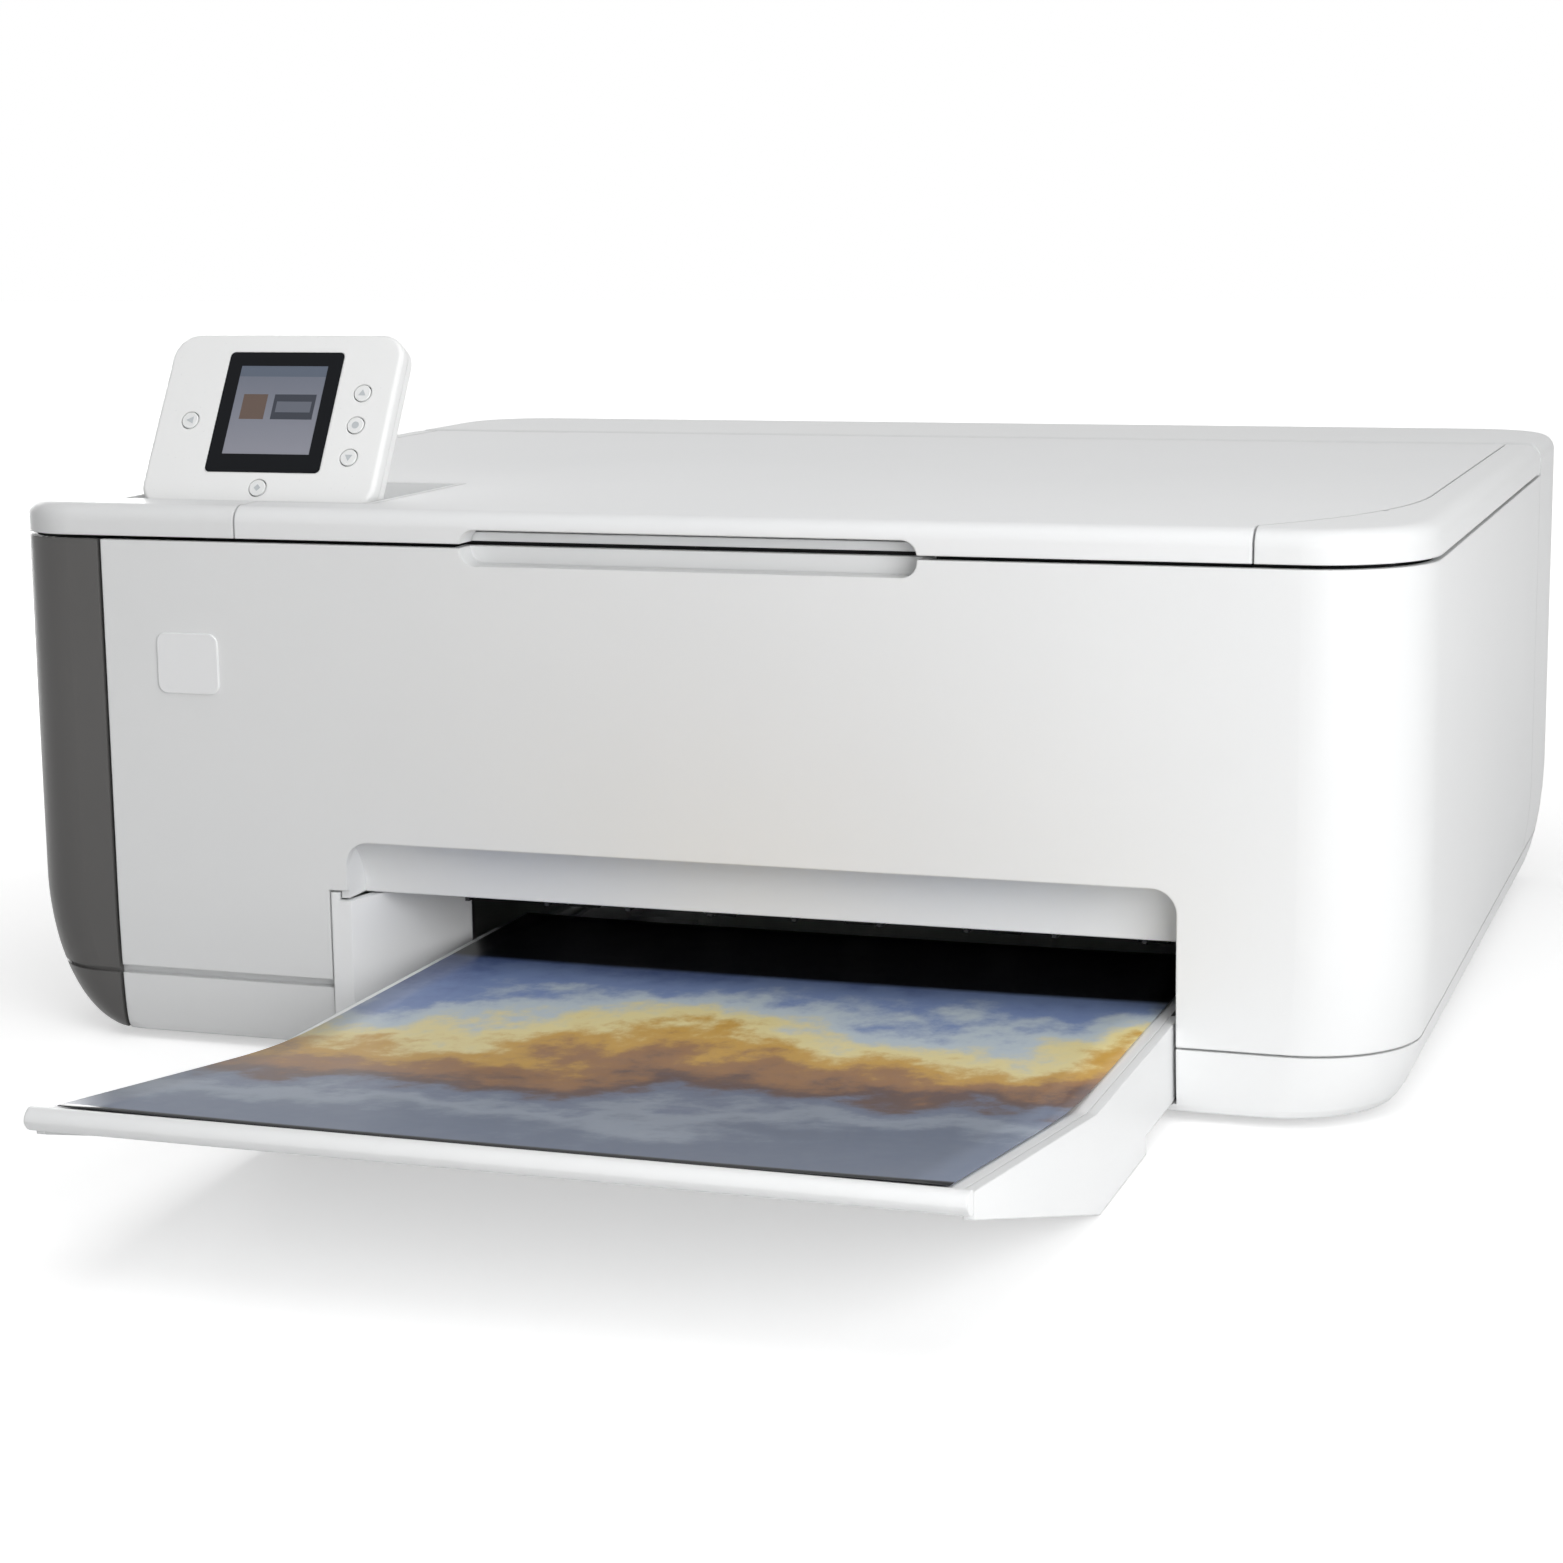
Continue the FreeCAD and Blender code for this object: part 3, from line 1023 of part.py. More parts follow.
cassette = cassette.cut(left_step)
save("paper_tray", cassette)

# Output plate on the tray's ledges, with two guides that hold the extender
plate_x = (tray_left + cheek, tray_right - cheek)
plate_rear_y = front + plate_rear
output_plate = side_prism(tray_points(cheek_tip_y, plate_rear_y, plate_drop, plate_drop + plate_thickness), plate_x)
extender_mid = (tray_left + tray_right) / 2.0
ext_x = (extender_mid - extender_width / 2.0, extender_mid + extender_width / 2.0)
ext_drop = ledge_drop + slide_clearance
guide_drop = ext_drop + extender_thickness + slide_clearance
for x, hook in ((ext_x[0] - slide_clearance - cheek, 1.0), (ext_x[1] + slide_clearance, -1.0)):
    web = side_prism(tray_points(cheek_tip_y + wall, front - tray_bend + wall, ledge_drop, guide_drop), (x, x + cheek))
    hook_x = (x, x + 2.0 * cheek) if hook > 0 else (x - cheek, x + cheek)
    toe = side_prism(tray_points(cheek_tip_y + wall, front - tray_bend + wall, guide_drop, guide_drop + 1.2), hook_x)
    output_plate = output_plate.fuse([web, toe])
save("output_plate", output_plate)

# Tray extender: a thin plate under the output plate with the tray's front lip on its end
bend_y = front - tray_bend
ext_rear_y = bend_y - extender_bend_gap
extender = side_prism([
    (ext_rear_y, tray_line(ext_rear_y, ext_drop)), (tip_y + wall, tray_line(tip_y + wall, ext_drop)),
    (tip_y + wall, tray_line(tip_y + wall, ext_drop + extender_thickness)),
    (ext_rear_y, tray_line(ext_rear_y, ext_drop + extender_thickness))], ext_x)
lip_low = tip_low
lip_bar = side_prism([
    (tip_y + lip_depth, lip_low), (tip_y + lip_depth, tray_tip - 0.4),
    ("arc", tip_y + lip_depth / 2.0, tray_tip + 0.1), (tip_y, tray_tip - lip_height / 2.0),
    ("arc", tip_y + lip_depth * 0.3, lip_low + 0.6)], (tray_left, tray_right))
extender = extender.fuse(lip_bar)
save("tray_extender", extender)

# Paper width guide: an upright fin on a foot that slides across the pan
guide_x = tray_left + cheek + 4.0
fin_y = (front + guide_depth, front + guide_depth + guide_length)
guide_floor = pan_low + cheek + slide_clearance
width_guide = block((guide_x, guide_x + 1.8), fin_y, (guide_floor, pan_top - 1.0))
guide_foot = block((guide_x, guide_x + 26.0), (fin_y[0] + 12.0, fin_y[1] - 12.0), (guide_floor, guide_floor + 1.6))
save("width_guide", width_guide.fuse(guide_foot))

# The sheet that has just been printed, lying on the output plate
sheet_front_y = tip_y + lip_depth + 1.0
sheet_ramp = (bend_y - sheet_front_y) / math.cos(tray_slope)
sheet_rear_y = bend_y + sheet_length - sheet_ramp
sheet_x = (plate_x[0] + sheet_play, plate_x[0] + sheet_play + sheet_width)
sheet = side_prism(tray_points(sheet_front_y, sheet_rear_y, plate_drop - sheet_thickness, plate_drop), sheet_x)
save("printed_sheet", sheet)
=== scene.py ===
import math

import bpy
import bmesh
from mathutils import Matrix, Vector


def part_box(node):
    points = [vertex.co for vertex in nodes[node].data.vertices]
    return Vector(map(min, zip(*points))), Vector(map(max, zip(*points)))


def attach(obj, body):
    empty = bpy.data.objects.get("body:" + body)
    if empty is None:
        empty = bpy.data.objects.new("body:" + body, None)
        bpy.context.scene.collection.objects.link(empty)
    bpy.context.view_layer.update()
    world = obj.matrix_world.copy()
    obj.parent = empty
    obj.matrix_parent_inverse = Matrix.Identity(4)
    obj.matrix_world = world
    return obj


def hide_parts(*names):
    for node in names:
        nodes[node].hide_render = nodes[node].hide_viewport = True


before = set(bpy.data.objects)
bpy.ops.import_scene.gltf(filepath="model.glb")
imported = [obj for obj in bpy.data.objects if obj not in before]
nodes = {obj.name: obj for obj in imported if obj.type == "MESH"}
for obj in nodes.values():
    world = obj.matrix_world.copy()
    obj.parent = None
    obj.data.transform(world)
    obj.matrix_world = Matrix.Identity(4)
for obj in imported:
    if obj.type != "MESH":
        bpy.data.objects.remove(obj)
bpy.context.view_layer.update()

# Base pan and rubber feet.
# The pan is an injection-moulded white tray with a fine spark-eroded grain; it carries everything else.
# The feet are soft black rubber discs glued into its four corners.


def build_grain_group():
    """Fine moulding grain and a slow drift of tone, shared by every moulded plastic."""
    group = bpy.data.node_groups.new("moulding_grain", "ShaderNodeTree")
    face = group.interface
    face.new_socket("Vector", in_out="INPUT", socket_type="NodeSocketVector")
    face.new_socket("Grain Scale", in_out="INPUT", socket_type="NodeSocketFloat").default_value = 900.0
    face.new_socket("Drift Scale", in_out="INPUT", socket_type="NodeSocketFloat").default_value = 7.0
    face.new_socket("Drift", in_out="OUTPUT", socket_type="NodeSocketFloat")
    face.new_socket("Grain", in_out="OUTPUT", socket_type="NodeSocketFloat")
    enter = group.nodes.new("NodeGroupInput")
    leave = group.nodes.new("NodeGroupOutput")
    grain = group.nodes.new("ShaderNodeTexNoise")
    grain.inputs["Detail"].default_value = 2.0
    drift = group.nodes.new("ShaderNodeTexNoise")
    drift.inputs["Detail"].default_value = 3.0
    for texture, scale in ((grain, "Grain Scale"), (drift, "Drift Scale")):
        group.links.new(enter.outputs["Vector"], texture.inputs["Vector"])
        group.links.new(enter.outputs[scale], texture.inputs["Scale"])
    group.links.new(drift.outputs["Fac"], leave.inputs["Drift"])
    group.links.new(grain.outputs["Fac"], leave.inputs["Grain"])
    return group


grain_group = build_grain_group()


def moulded(name, dark, light, rough, grain_scale=900.0, relief=0.06, edge=0.0007, specular=0.5):
    """A moulded plastic: two close tones, grain in the relief and a gloss that drifts a little."""
    material = bpy.data.materials.new(name)
    material.use_nodes = True
    tree = material.node_tree
    shader = tree.nodes["Principled BSDF"]
    shader.inputs["Specular IOR Level"].default_value = specular
    place = tree.nodes.new("ShaderNodeTexCoord")
    grain = tree.nodes.new("ShaderNodeGroup")
    grain.node_tree = grain_group
    grain.inputs["Grain Scale"].default_value = grain_scale
    tree.links.new(place.outputs["Object"], grain.inputs["Vector"])
    tone = tree.nodes.new("ShaderNodeMix")
    tone.data_type = "RGBA"
    tone.inputs["A"].default_value = (*dark, 1.0)
    tone.inputs["B"].default_value = (*light, 1.0)
    tree.links.new(grain.outputs["Drift"], tone.inputs["Factor"])
    tree.links.new(tone.outputs["Result"], shader.inputs["Base Color"])
    gloss = tree.nodes.new("ShaderNodeMapRange")
    gloss.inputs["To Min"].default_value = rough - 0.06
    gloss.inputs["To Max"].default_value = rough + 0.06
    tree.links.new(grain.outputs["Grain"], gloss.inputs["Value"])
    tree.links.new(gloss.outputs["Result"], shader.inputs["Roughness"])
    bump = tree.nodes.new("ShaderNodeBump")
    bump.inputs["Strength"].default_value = relief
    bump.inputs["Distance"].default_value = 0.0002
    tree.links.new(grain.outputs["Grain"], bump.inputs["Height"])
    if edge > 0.0:
        round_edge = tree.nodes.new("ShaderNodeBevel")
        round_edge.samples = 4
        round_edge.inputs["Radius"].default_value = edge
        tree.links.new(round_edge.outputs["Normal"], bump.inputs["Normal"])
    tree.links.new(bump.outputs["Normal"], shader.inputs["Normal"])
    return material


def dress(material, *names):
    """Puts a finish on CAD nodes."""
    for name in names:
        mesh = nodes[name].data
        mesh.materials.clear()
        mesh.materials.append(material)


white_shell = moulded("white_shell", (0.76, 0.77, 0.775), (0.82, 0.825, 0.825), 0.38, specular=0.25)
foot_rubber = moulded("foot_rubber", (0.018, 0.018, 0.018), (0.035, 0.034, 0.033), 0.8, 500.0, 0.25, 0.0)
dress(white_shell, "base_pan")
dress(foot_rubber, "rubber_feet")

# Left side cover.
# A separate moulding that wraps the left front corner and the whole left side; it snaps into the base behind the
# white front. Its dark grey colour is painted shade for the shaded left side; its surface is a finer, slightly
# shinier grain than the white parts.
# Painted shade: the left cover's dark grey colour stands for the shade on the left side of the body.
painted_shade_grey = moulded("left_cover_painted_shade", (0.105, 0.103, 0.10), (0.14, 0.137, 0.135), 0.34, 1100.0, 0.05, specular=0.18)
dress(painted_shade_grey, "left_side_cover")

# Front cover with its badge plate.
# One white moulding makes the front, the cove over the paper exit and the right side. A small bare plate with
# rounded corners is pressed into a shallow seat near the left edge.
# Painted light: the side jamb, the inner wall left of the paper exit that faces the right lamp, is a lighter copy
# of the white plastic, standing for the light that falls on it.
jamb_painted_light = moulded("jamb_painted_light", (0.86, 0.87, 0.88), (0.90, 0.905, 0.91), 0.34, specular=0.3)
dress(white_shell, "front_cover")
dress(jamb_painted_light, "side_jamb")
front_y = -0.077
badge_x, badge_z = -0.1490, 0.1160
badge_width, badge_height, badge_depth, badge_corner = 0.0200, 0.0180, 0.0007, 0.0030
badge_seat, badge_edge = 0.0001, 0.0003


def rounded_plate(name, width, height, depth, radius, steps=8):
    """A plate with rounded corners, its face turned to the front, centred on the origin."""
    mesh = bpy.data.meshes.new(name)
    form = bmesh.new()
    ring = []
    for cx, cz, start in ((1, 1, 0), (-1, 1, 90), (-1, -1, 180), (1, -1, 270)):
        for step in range(steps + 1):
            angle = math.radians(start + 90.0 * step / steps)
            x = cx * (width / 2 - radius) + radius * math.cos(angle)
            z = cz * (height / 2 - radius) + radius * math.sin(angle)
            ring.append(form.verts.new((x, 0.0, z)))
    face = form.faces.new(ring)
    side = bmesh.ops.extrude_face_region(form, geom=[face])
    moved = [v for v in side["geom"] if isinstance(v, bmesh.types.BMVert)]
    bmesh.ops.translate(form, verts=moved, vec=(0.0, -depth, 0.0))
    bmesh.ops.recalc_face_normals(form, faces=form.faces)
    form.to_mesh(mesh)
    form.free()
    plate = bpy.data.objects.new(name, mesh)
    bpy.context.scene.collection.objects.link(plate)
    return plate


def soften(piece, width, segments=2):
    """Rounds a piece's hard edges and bakes the result into its mesh."""
    bevel = piece.modifiers.new("round", "BEVEL")
    bevel.width = width
    bevel.segments = segments
    bevel.limit_method = "ANGLE"
    bevel.angle_limit = math.radians(40.0)
    shaped = bpy.data.meshes.new_from_object(piece.evaluated_get(bpy.context.evaluated_depsgraph_get()))
    piece.modifiers.clear()
    piece.data = shaped


badge = rounded_plate("badge_plate", badge_width, badge_height, badge_depth, badge_corner)
badge.data.transform(Matrix.Translation((badge_x, front_y + badge_seat, badge_z)))
soften(badge, badge_edge)
badge_white = moulded("badge_white", (0.80, 0.81, 0.82), (0.86, 0.865, 0.87), 0.22, 600.0, 0.02, 0.0)
badge.data.materials.append(badge_white)
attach(badge, "base")

# Rear cover, rear access door, sockets and the dark liner of the paper exit.
# The rear cover matches the front in white; the sockets are black and tinned-steel bought parts, and the liner is
# plain black so that stray light stays out of the print path.
inner_black = moulded("inner_black", (0.010, 0.010, 0.011), (0.022, 0.022, 0.023), 0.55, 700.0, 0.12, 0.0, 0.35)
inner_grey = moulded("inner_grey", (0.16, 0.165, 0.17), (0.22, 0.225, 0.23), 0.5, 800.0, 0.08)


def rolled_metal(name, colour, rough, stretch, bright=1.12):
    """Bare metal with fine lines along one direction, from rolling, drawing or grinding."""
    material = bpy.data.materials.new(name)
    material.use_nodes = True
    tree = material.node_tree
    shader = tree.nodes["Principled BSDF"]
    shader.inputs["Metallic"].default_value = 1.0
    place = tree.nodes.new("ShaderNodeTexCoord")
    turn = tree.nodes.new("ShaderNodeMapping")
    turn.inputs["Scale"].default_value = stretch
    lines = tree.nodes.new("ShaderNodeTexNoise")
    lines.inputs["Scale"].default_value = 60.0
    lines.inputs["Detail"].default_value = 4.0
    tree.links.new(place.outputs["Object"], turn.inputs["Vector"])
    tree.links.new(turn.outputs["Vector"], lines.inputs["Vector"])
    tone = tree.nodes.new("ShaderNodeMix")
    tone.data_type = "RGBA"
    tone.inputs["A"].default_value = (*colour, 1.0)
    tone.inputs["B"].default_value = (*[min(0.95, c * bright) for c in colour], 1.0)
    tree.links.new(lines.outputs["Fac"], tone.inputs["Factor"])
    tree.links.new(tone.outputs["Result"], shader.inputs["Base Color"])
    gloss = tree.nodes.new("ShaderNodeMapRange")
    gloss.inputs["To Min"].default_value = rough - 0.08
    gloss.inputs["To Max"].default_value = rough + 0.08
    tree.links.new(lines.outputs["Fac"], gloss.inputs["Value"])
    tree.links.new(gloss.outputs["Result"], shader.inputs["Roughness"])
    bump = tree.nodes.new("ShaderNodeBump")
    bump.inputs["Strength"].default_value = 0.05
    bump.inputs["Distance"].default_value = 0.0001
    tree.links.new(lines.outputs["Fac"], bump.inputs["Height"])
    tree.links.new(bump.outputs["Normal"], shader.inputs["Normal"])
    return material


plated_sheet = rolled_metal("plated_sheet", (0.58, 0.59, 0.58), 0.38, (1.0, 12.0, 1.0))
ground_shaft = rolled_metal("ground_shaft", (0.66, 0.66, 0.67), 0.22, (30.0, 1.0, 1.0))
drawn_can = rolled_metal("drawn_can", (0.47, 0.47, 0.48), 0.32, (1.0, 1.0, 20.0))
dress(white_shell, "rear_cover", "rear_access_door")
dress(inner_black, "power_inlet", "exit_liner")
dress(plated_sheet, "data_port")
dress(ground_shaft, "hinge_pins")

# Print mechanism: frames, beam, rod, motors, rollers, gears, platen and service station.
# Zinc-plated pressings carry ground shafts; the gears and pulleys are natural acetal, the roller sleeves rubber.
acetal = moulded("acetal", (0.70, 0.69, 0.64), (0.78, 0.77, 0.72), 0.35, 500.0, 0.03, 0.0)
roller_rubber = moulded("roller_rubber", (0.022, 0.022, 0.023), (0.045, 0.045, 0.046), 0.72, 350.0, 0.3, 0.0)
dress(plated_sheet, "left_frame", "right_frame", "rear_beam")
dress(ground_shaft, "guide_rod", "star_wheel_shaft")
dress(drawn_can, "carriage_motor", "feed_motor")
dress(roller_rubber, "feed_roller", "exit_roller", "pick_roller", "drive_belt")
dress(acetal, "feed_gear", "exit_gear", "pick_gear", "idler_gear", "motor_pinion", "motor_pulley", "idler_pulley")
dress(inner_black, "platen", "carriage")
dress(inner_grey, "service_station")

# Main board and encoder strip.
# The board is solder-masked glass laminate; the strip is clear film with fine dark lines at a steady pitch.
board_green = moulded("board_green", (0.012, 0.085, 0.035), (0.02, 0.13, 0.055), 0.3, 260.0, 0.2, 0.0)
dress(board_green, "main_board")


def lined_film():
    """Film with dark lines across X."""
    material = bpy.data.materials.new("lined_film")
    material.use_nodes = True
    tree = material.node_tree
    shader = tree.nodes["Principled BSDF"]
    shader.inputs["Roughness"].default_value = 0.25
    place = tree.nodes.new("ShaderNodeTexCoord")
    wave = tree.nodes.new("ShaderNodeTexWave")
    wave.inputs["Scale"].default_value = 160.0
    ramp = tree.nodes.new("ShaderNodeValToRGB")
    ramp.color_ramp.elements[0].color = (0.05, 0.05, 0.055, 1.0)
    ramp.color_ramp.elements[1].color = (0.32, 0.33, 0.33, 1.0)
    tree.links.new(place.outputs["Object"], wave.inputs["Vector"])
    tree.links.new(wave.outputs["Fac"], ramp.inputs["Fac"])
    tree.links.new(ramp.outputs["Color"], shader.inputs["Base Color"])
    return material


dress(lined_film(), "encoder_strip")

# Belt teeth.
# The drive belt is moulded neoprene with square teeth on its inner face, which the pulleys pull on.
pulley_x, belt_y, belt_z, belt_run = 0.160, 0.077, 0.088, 0.0058
run_inset = 0.008
tooth_pitch, tooth_width, tooth_height = 0.002, 0.005, 0.0006


def belt_teeth_tree(material):
    """Teeth set along the belt's inner path, a real tooth pitch apart."""
    tree = bpy.data.node_groups.new("belt_teeth", "GeometryNodeTree")
    face = tree.interface
    face.new_socket("Geometry", in_out="INPUT", socket_type="NodeSocketGeometry")
    pitch = face.new_socket("Tooth Pitch", in_out="INPUT", socket_type="NodeSocketFloat")
    width = face.new_socket("Belt Width", in_out="INPUT", socket_type="NodeSocketFloat")
    face.new_socket("Geometry", in_out="OUTPUT", socket_type="NodeSocketGeometry")
    enter = tree.nodes.new("NodeGroupInput")
    leave = tree.nodes.new("NodeGroupOutput")
    points = tree.nodes.new("GeometryNodeCurveToPoints")
    points.mode = "LENGTH"
    tooth = tree.nodes.new("GeometryNodeMeshCube")
    size = tree.nodes.new("ShaderNodeCombineXYZ")
    half_pitch = tree.nodes.new("ShaderNodeMath")
    half_pitch.operation = "MULTIPLY"
    half_pitch.inputs[1].default_value = 0.5
    size.inputs["Y"].default_value = tooth_height
    place = tree.nodes.new("GeometryNodeInstanceOnPoints")
    real = tree.nodes.new("GeometryNodeRealizeInstances")
    finish = tree.nodes.new("GeometryNodeSetMaterial")
    finish.inputs["Material"].default_value = material
    tree.links.new(enter.outputs["Geometry"], points.inputs["Curve"])
    tree.links.new(enter.outputs["Tooth Pitch"], points.inputs["Length"])
    tree.links.new(enter.outputs["Tooth Pitch"], half_pitch.inputs[0])
    tree.links.new(half_pitch.outputs[0], size.inputs["Z"])
    tree.links.new(enter.outputs["Belt Width"], size.inputs["X"])
    tree.links.new(size.outputs["Vector"], tooth.inputs["Size"])
    tree.links.new(points.outputs["Points"], place.inputs["Points"])
    tree.links.new(points.outputs["Rotation"], place.inputs["Rotation"])
    tree.links.new(tooth.outputs["Mesh"], place.inputs["Instance"])
    tree.links.new(place.outputs["Instances"], real.inputs["Geometry"])
    tree.links.new(real.outputs["Geometry"], finish.inputs["Geometry"])
    tree.links.new(finish.outputs["Geometry"], leave.inputs["Geometry"])
    return tree, pitch.identifier, width.identifier


path = bpy.data.curves.new("belt_path", "CURVE")
path.dimensions = "3D"
for level in (-1.0, 1.0):
    run = path.splines.new("POLY")
    run.points.add(1)
    run.points[0].co = (-pulley_x + run_inset, belt_y, belt_z + level * belt_run, 1.0)
    run.points[1].co = (pulley_x - run_inset, belt_y, belt_z + level * belt_run, 1.0)
belt_guide = bpy.data.objects.new("belt_guide", path)
bpy.context.scene.collection.objects.link(belt_guide)
teeth_tree, pitch_id, width_id = belt_teeth_tree(roller_rubber)
teeth_maker = belt_guide.modifiers.new("teeth", "NODES")
teeth_maker.node_group = teeth_tree
teeth_maker[pitch_id] = tooth_pitch
teeth_maker[width_id] = tooth_width
teeth_mesh = bpy.data.meshes.new_from_object(belt_guide.evaluated_get(bpy.context.evaluated_depsgraph_get()))
bpy.data.objects.remove(belt_guide)
belt_teeth = bpy.data.objects.new("belt_teeth", teeth_mesh)
bpy.context.scene.collection.objects.link(belt_teeth)
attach(belt_teeth, "base")

# Ink cartridges.
# Four closed tanks of tinted polypropylene that stand side by side in the carriage.
for tank, dark, light in (
        ("ink_black", (0.012, 0.012, 0.013), (0.022, 0.022, 0.024)),
        ("ink_cyan", (0.010, 0.20, 0.42), (0.015, 0.27, 0.50)),
        ("ink_magenta", (0.40, 0.012, 0.13), (0.50, 0.02, 0.18)),
        ("ink_yellow", (0.68, 0.47, 0.015), (0.78, 0.56, 0.03))):
    dress(moulded(tank + "_tank", dark, light, 0.34, 700.0, 0.05, 0.0), tank)

# Paper tray, output plate, extender and width guide.
# White mouldings that slide out of the base; the prints land on the plate, and the lip belongs to the extender.
guide_grey = moulded("guide_grey", (0.46, 0.47, 0.48), (0.54, 0.55, 0.56), 0.42)
dress(white_shell, "paper_tray", "output_plate", "tray_extender")
dress(guide_grey, "width_guide")

# Printed sheet.
# One letter-size sheet of coated photo paper lies on the output plate and bridges the bend in it. Its print is a
# plain set of wavy colour bands, from blue through pale yellow and gold to brown and grey. A thin dark strip runs
# along its front edge, and its rear part, which lies inside the paper exit, is painted near-black as painted shade.
sheet_left, sheet_width = -0.0765, 0.216
sheet_front_y, sheet_length = -0.277, 0.279
sheet_level, sheet_gauge, edge_curl = 0.02762, 0.00022, 0.0005
bend_y, bend_blend = -0.165, 0.010
ramp_rise, ramp_run = 0.0155, 0.118
sheet_slope = ramp_rise / ramp_run


def sheet_height(y):
    """Height of the paper: level at the back, up the ramp in front, with a soft bend between."""
    return sheet_level + sheet_slope * bend_blend * math.log1p(math.exp((bend_y - y) / bend_blend))


across, along = 20, 72
sheet_rear_y = bend_y + sheet_length - (bend_y - sheet_front_y) / math.cos(math.atan(sheet_slope))
form = bmesh.new()
uv_layer = form.loops.layers.uv.new("print")
rows = []
for j in range(along + 1):
    y = sheet_front_y + (sheet_rear_y - sheet_front_y) * j / along
    row = []
    for i in range(across + 1):
        u = i / across
        curl = edge_curl * abs(2.0 * u - 1.0) ** 3
        row.append(form.verts.new((sheet_left + sheet_width * u, y, sheet_height(y) + curl)))
    rows.append(row)
for j in range(along):
    for i in range(across):
        face = form.faces.new((rows[j][i], rows[j][i + 1], rows[j + 1][i + 1], rows[j + 1][i]))
        face.smooth = True
        for loop, (a, b) in zip(face.loops, ((i, j), (i + 1, j), (i + 1, j + 1), (i, j + 1))):
            loop[uv_layer].uv = (a / across, b / along)
sheet_mesh = bpy.data.meshes.new("sheet")
form.to_mesh(sheet_mesh)
form.free()
sheet = bpy.data.objects.new("sheet", sheet_mesh)
bpy.context.scene.collection.objects.link(sheet)
thickness = sheet.modifiers.new("paper", "SOLIDIFY")
thickness.thickness = sheet_gauge
thickness.offset = 1.0
sheet.data = bpy.data.meshes.new_from_object(sheet.evaluated_get(bpy.context.evaluated_depsgraph_get()))
sheet.modifiers.clear()


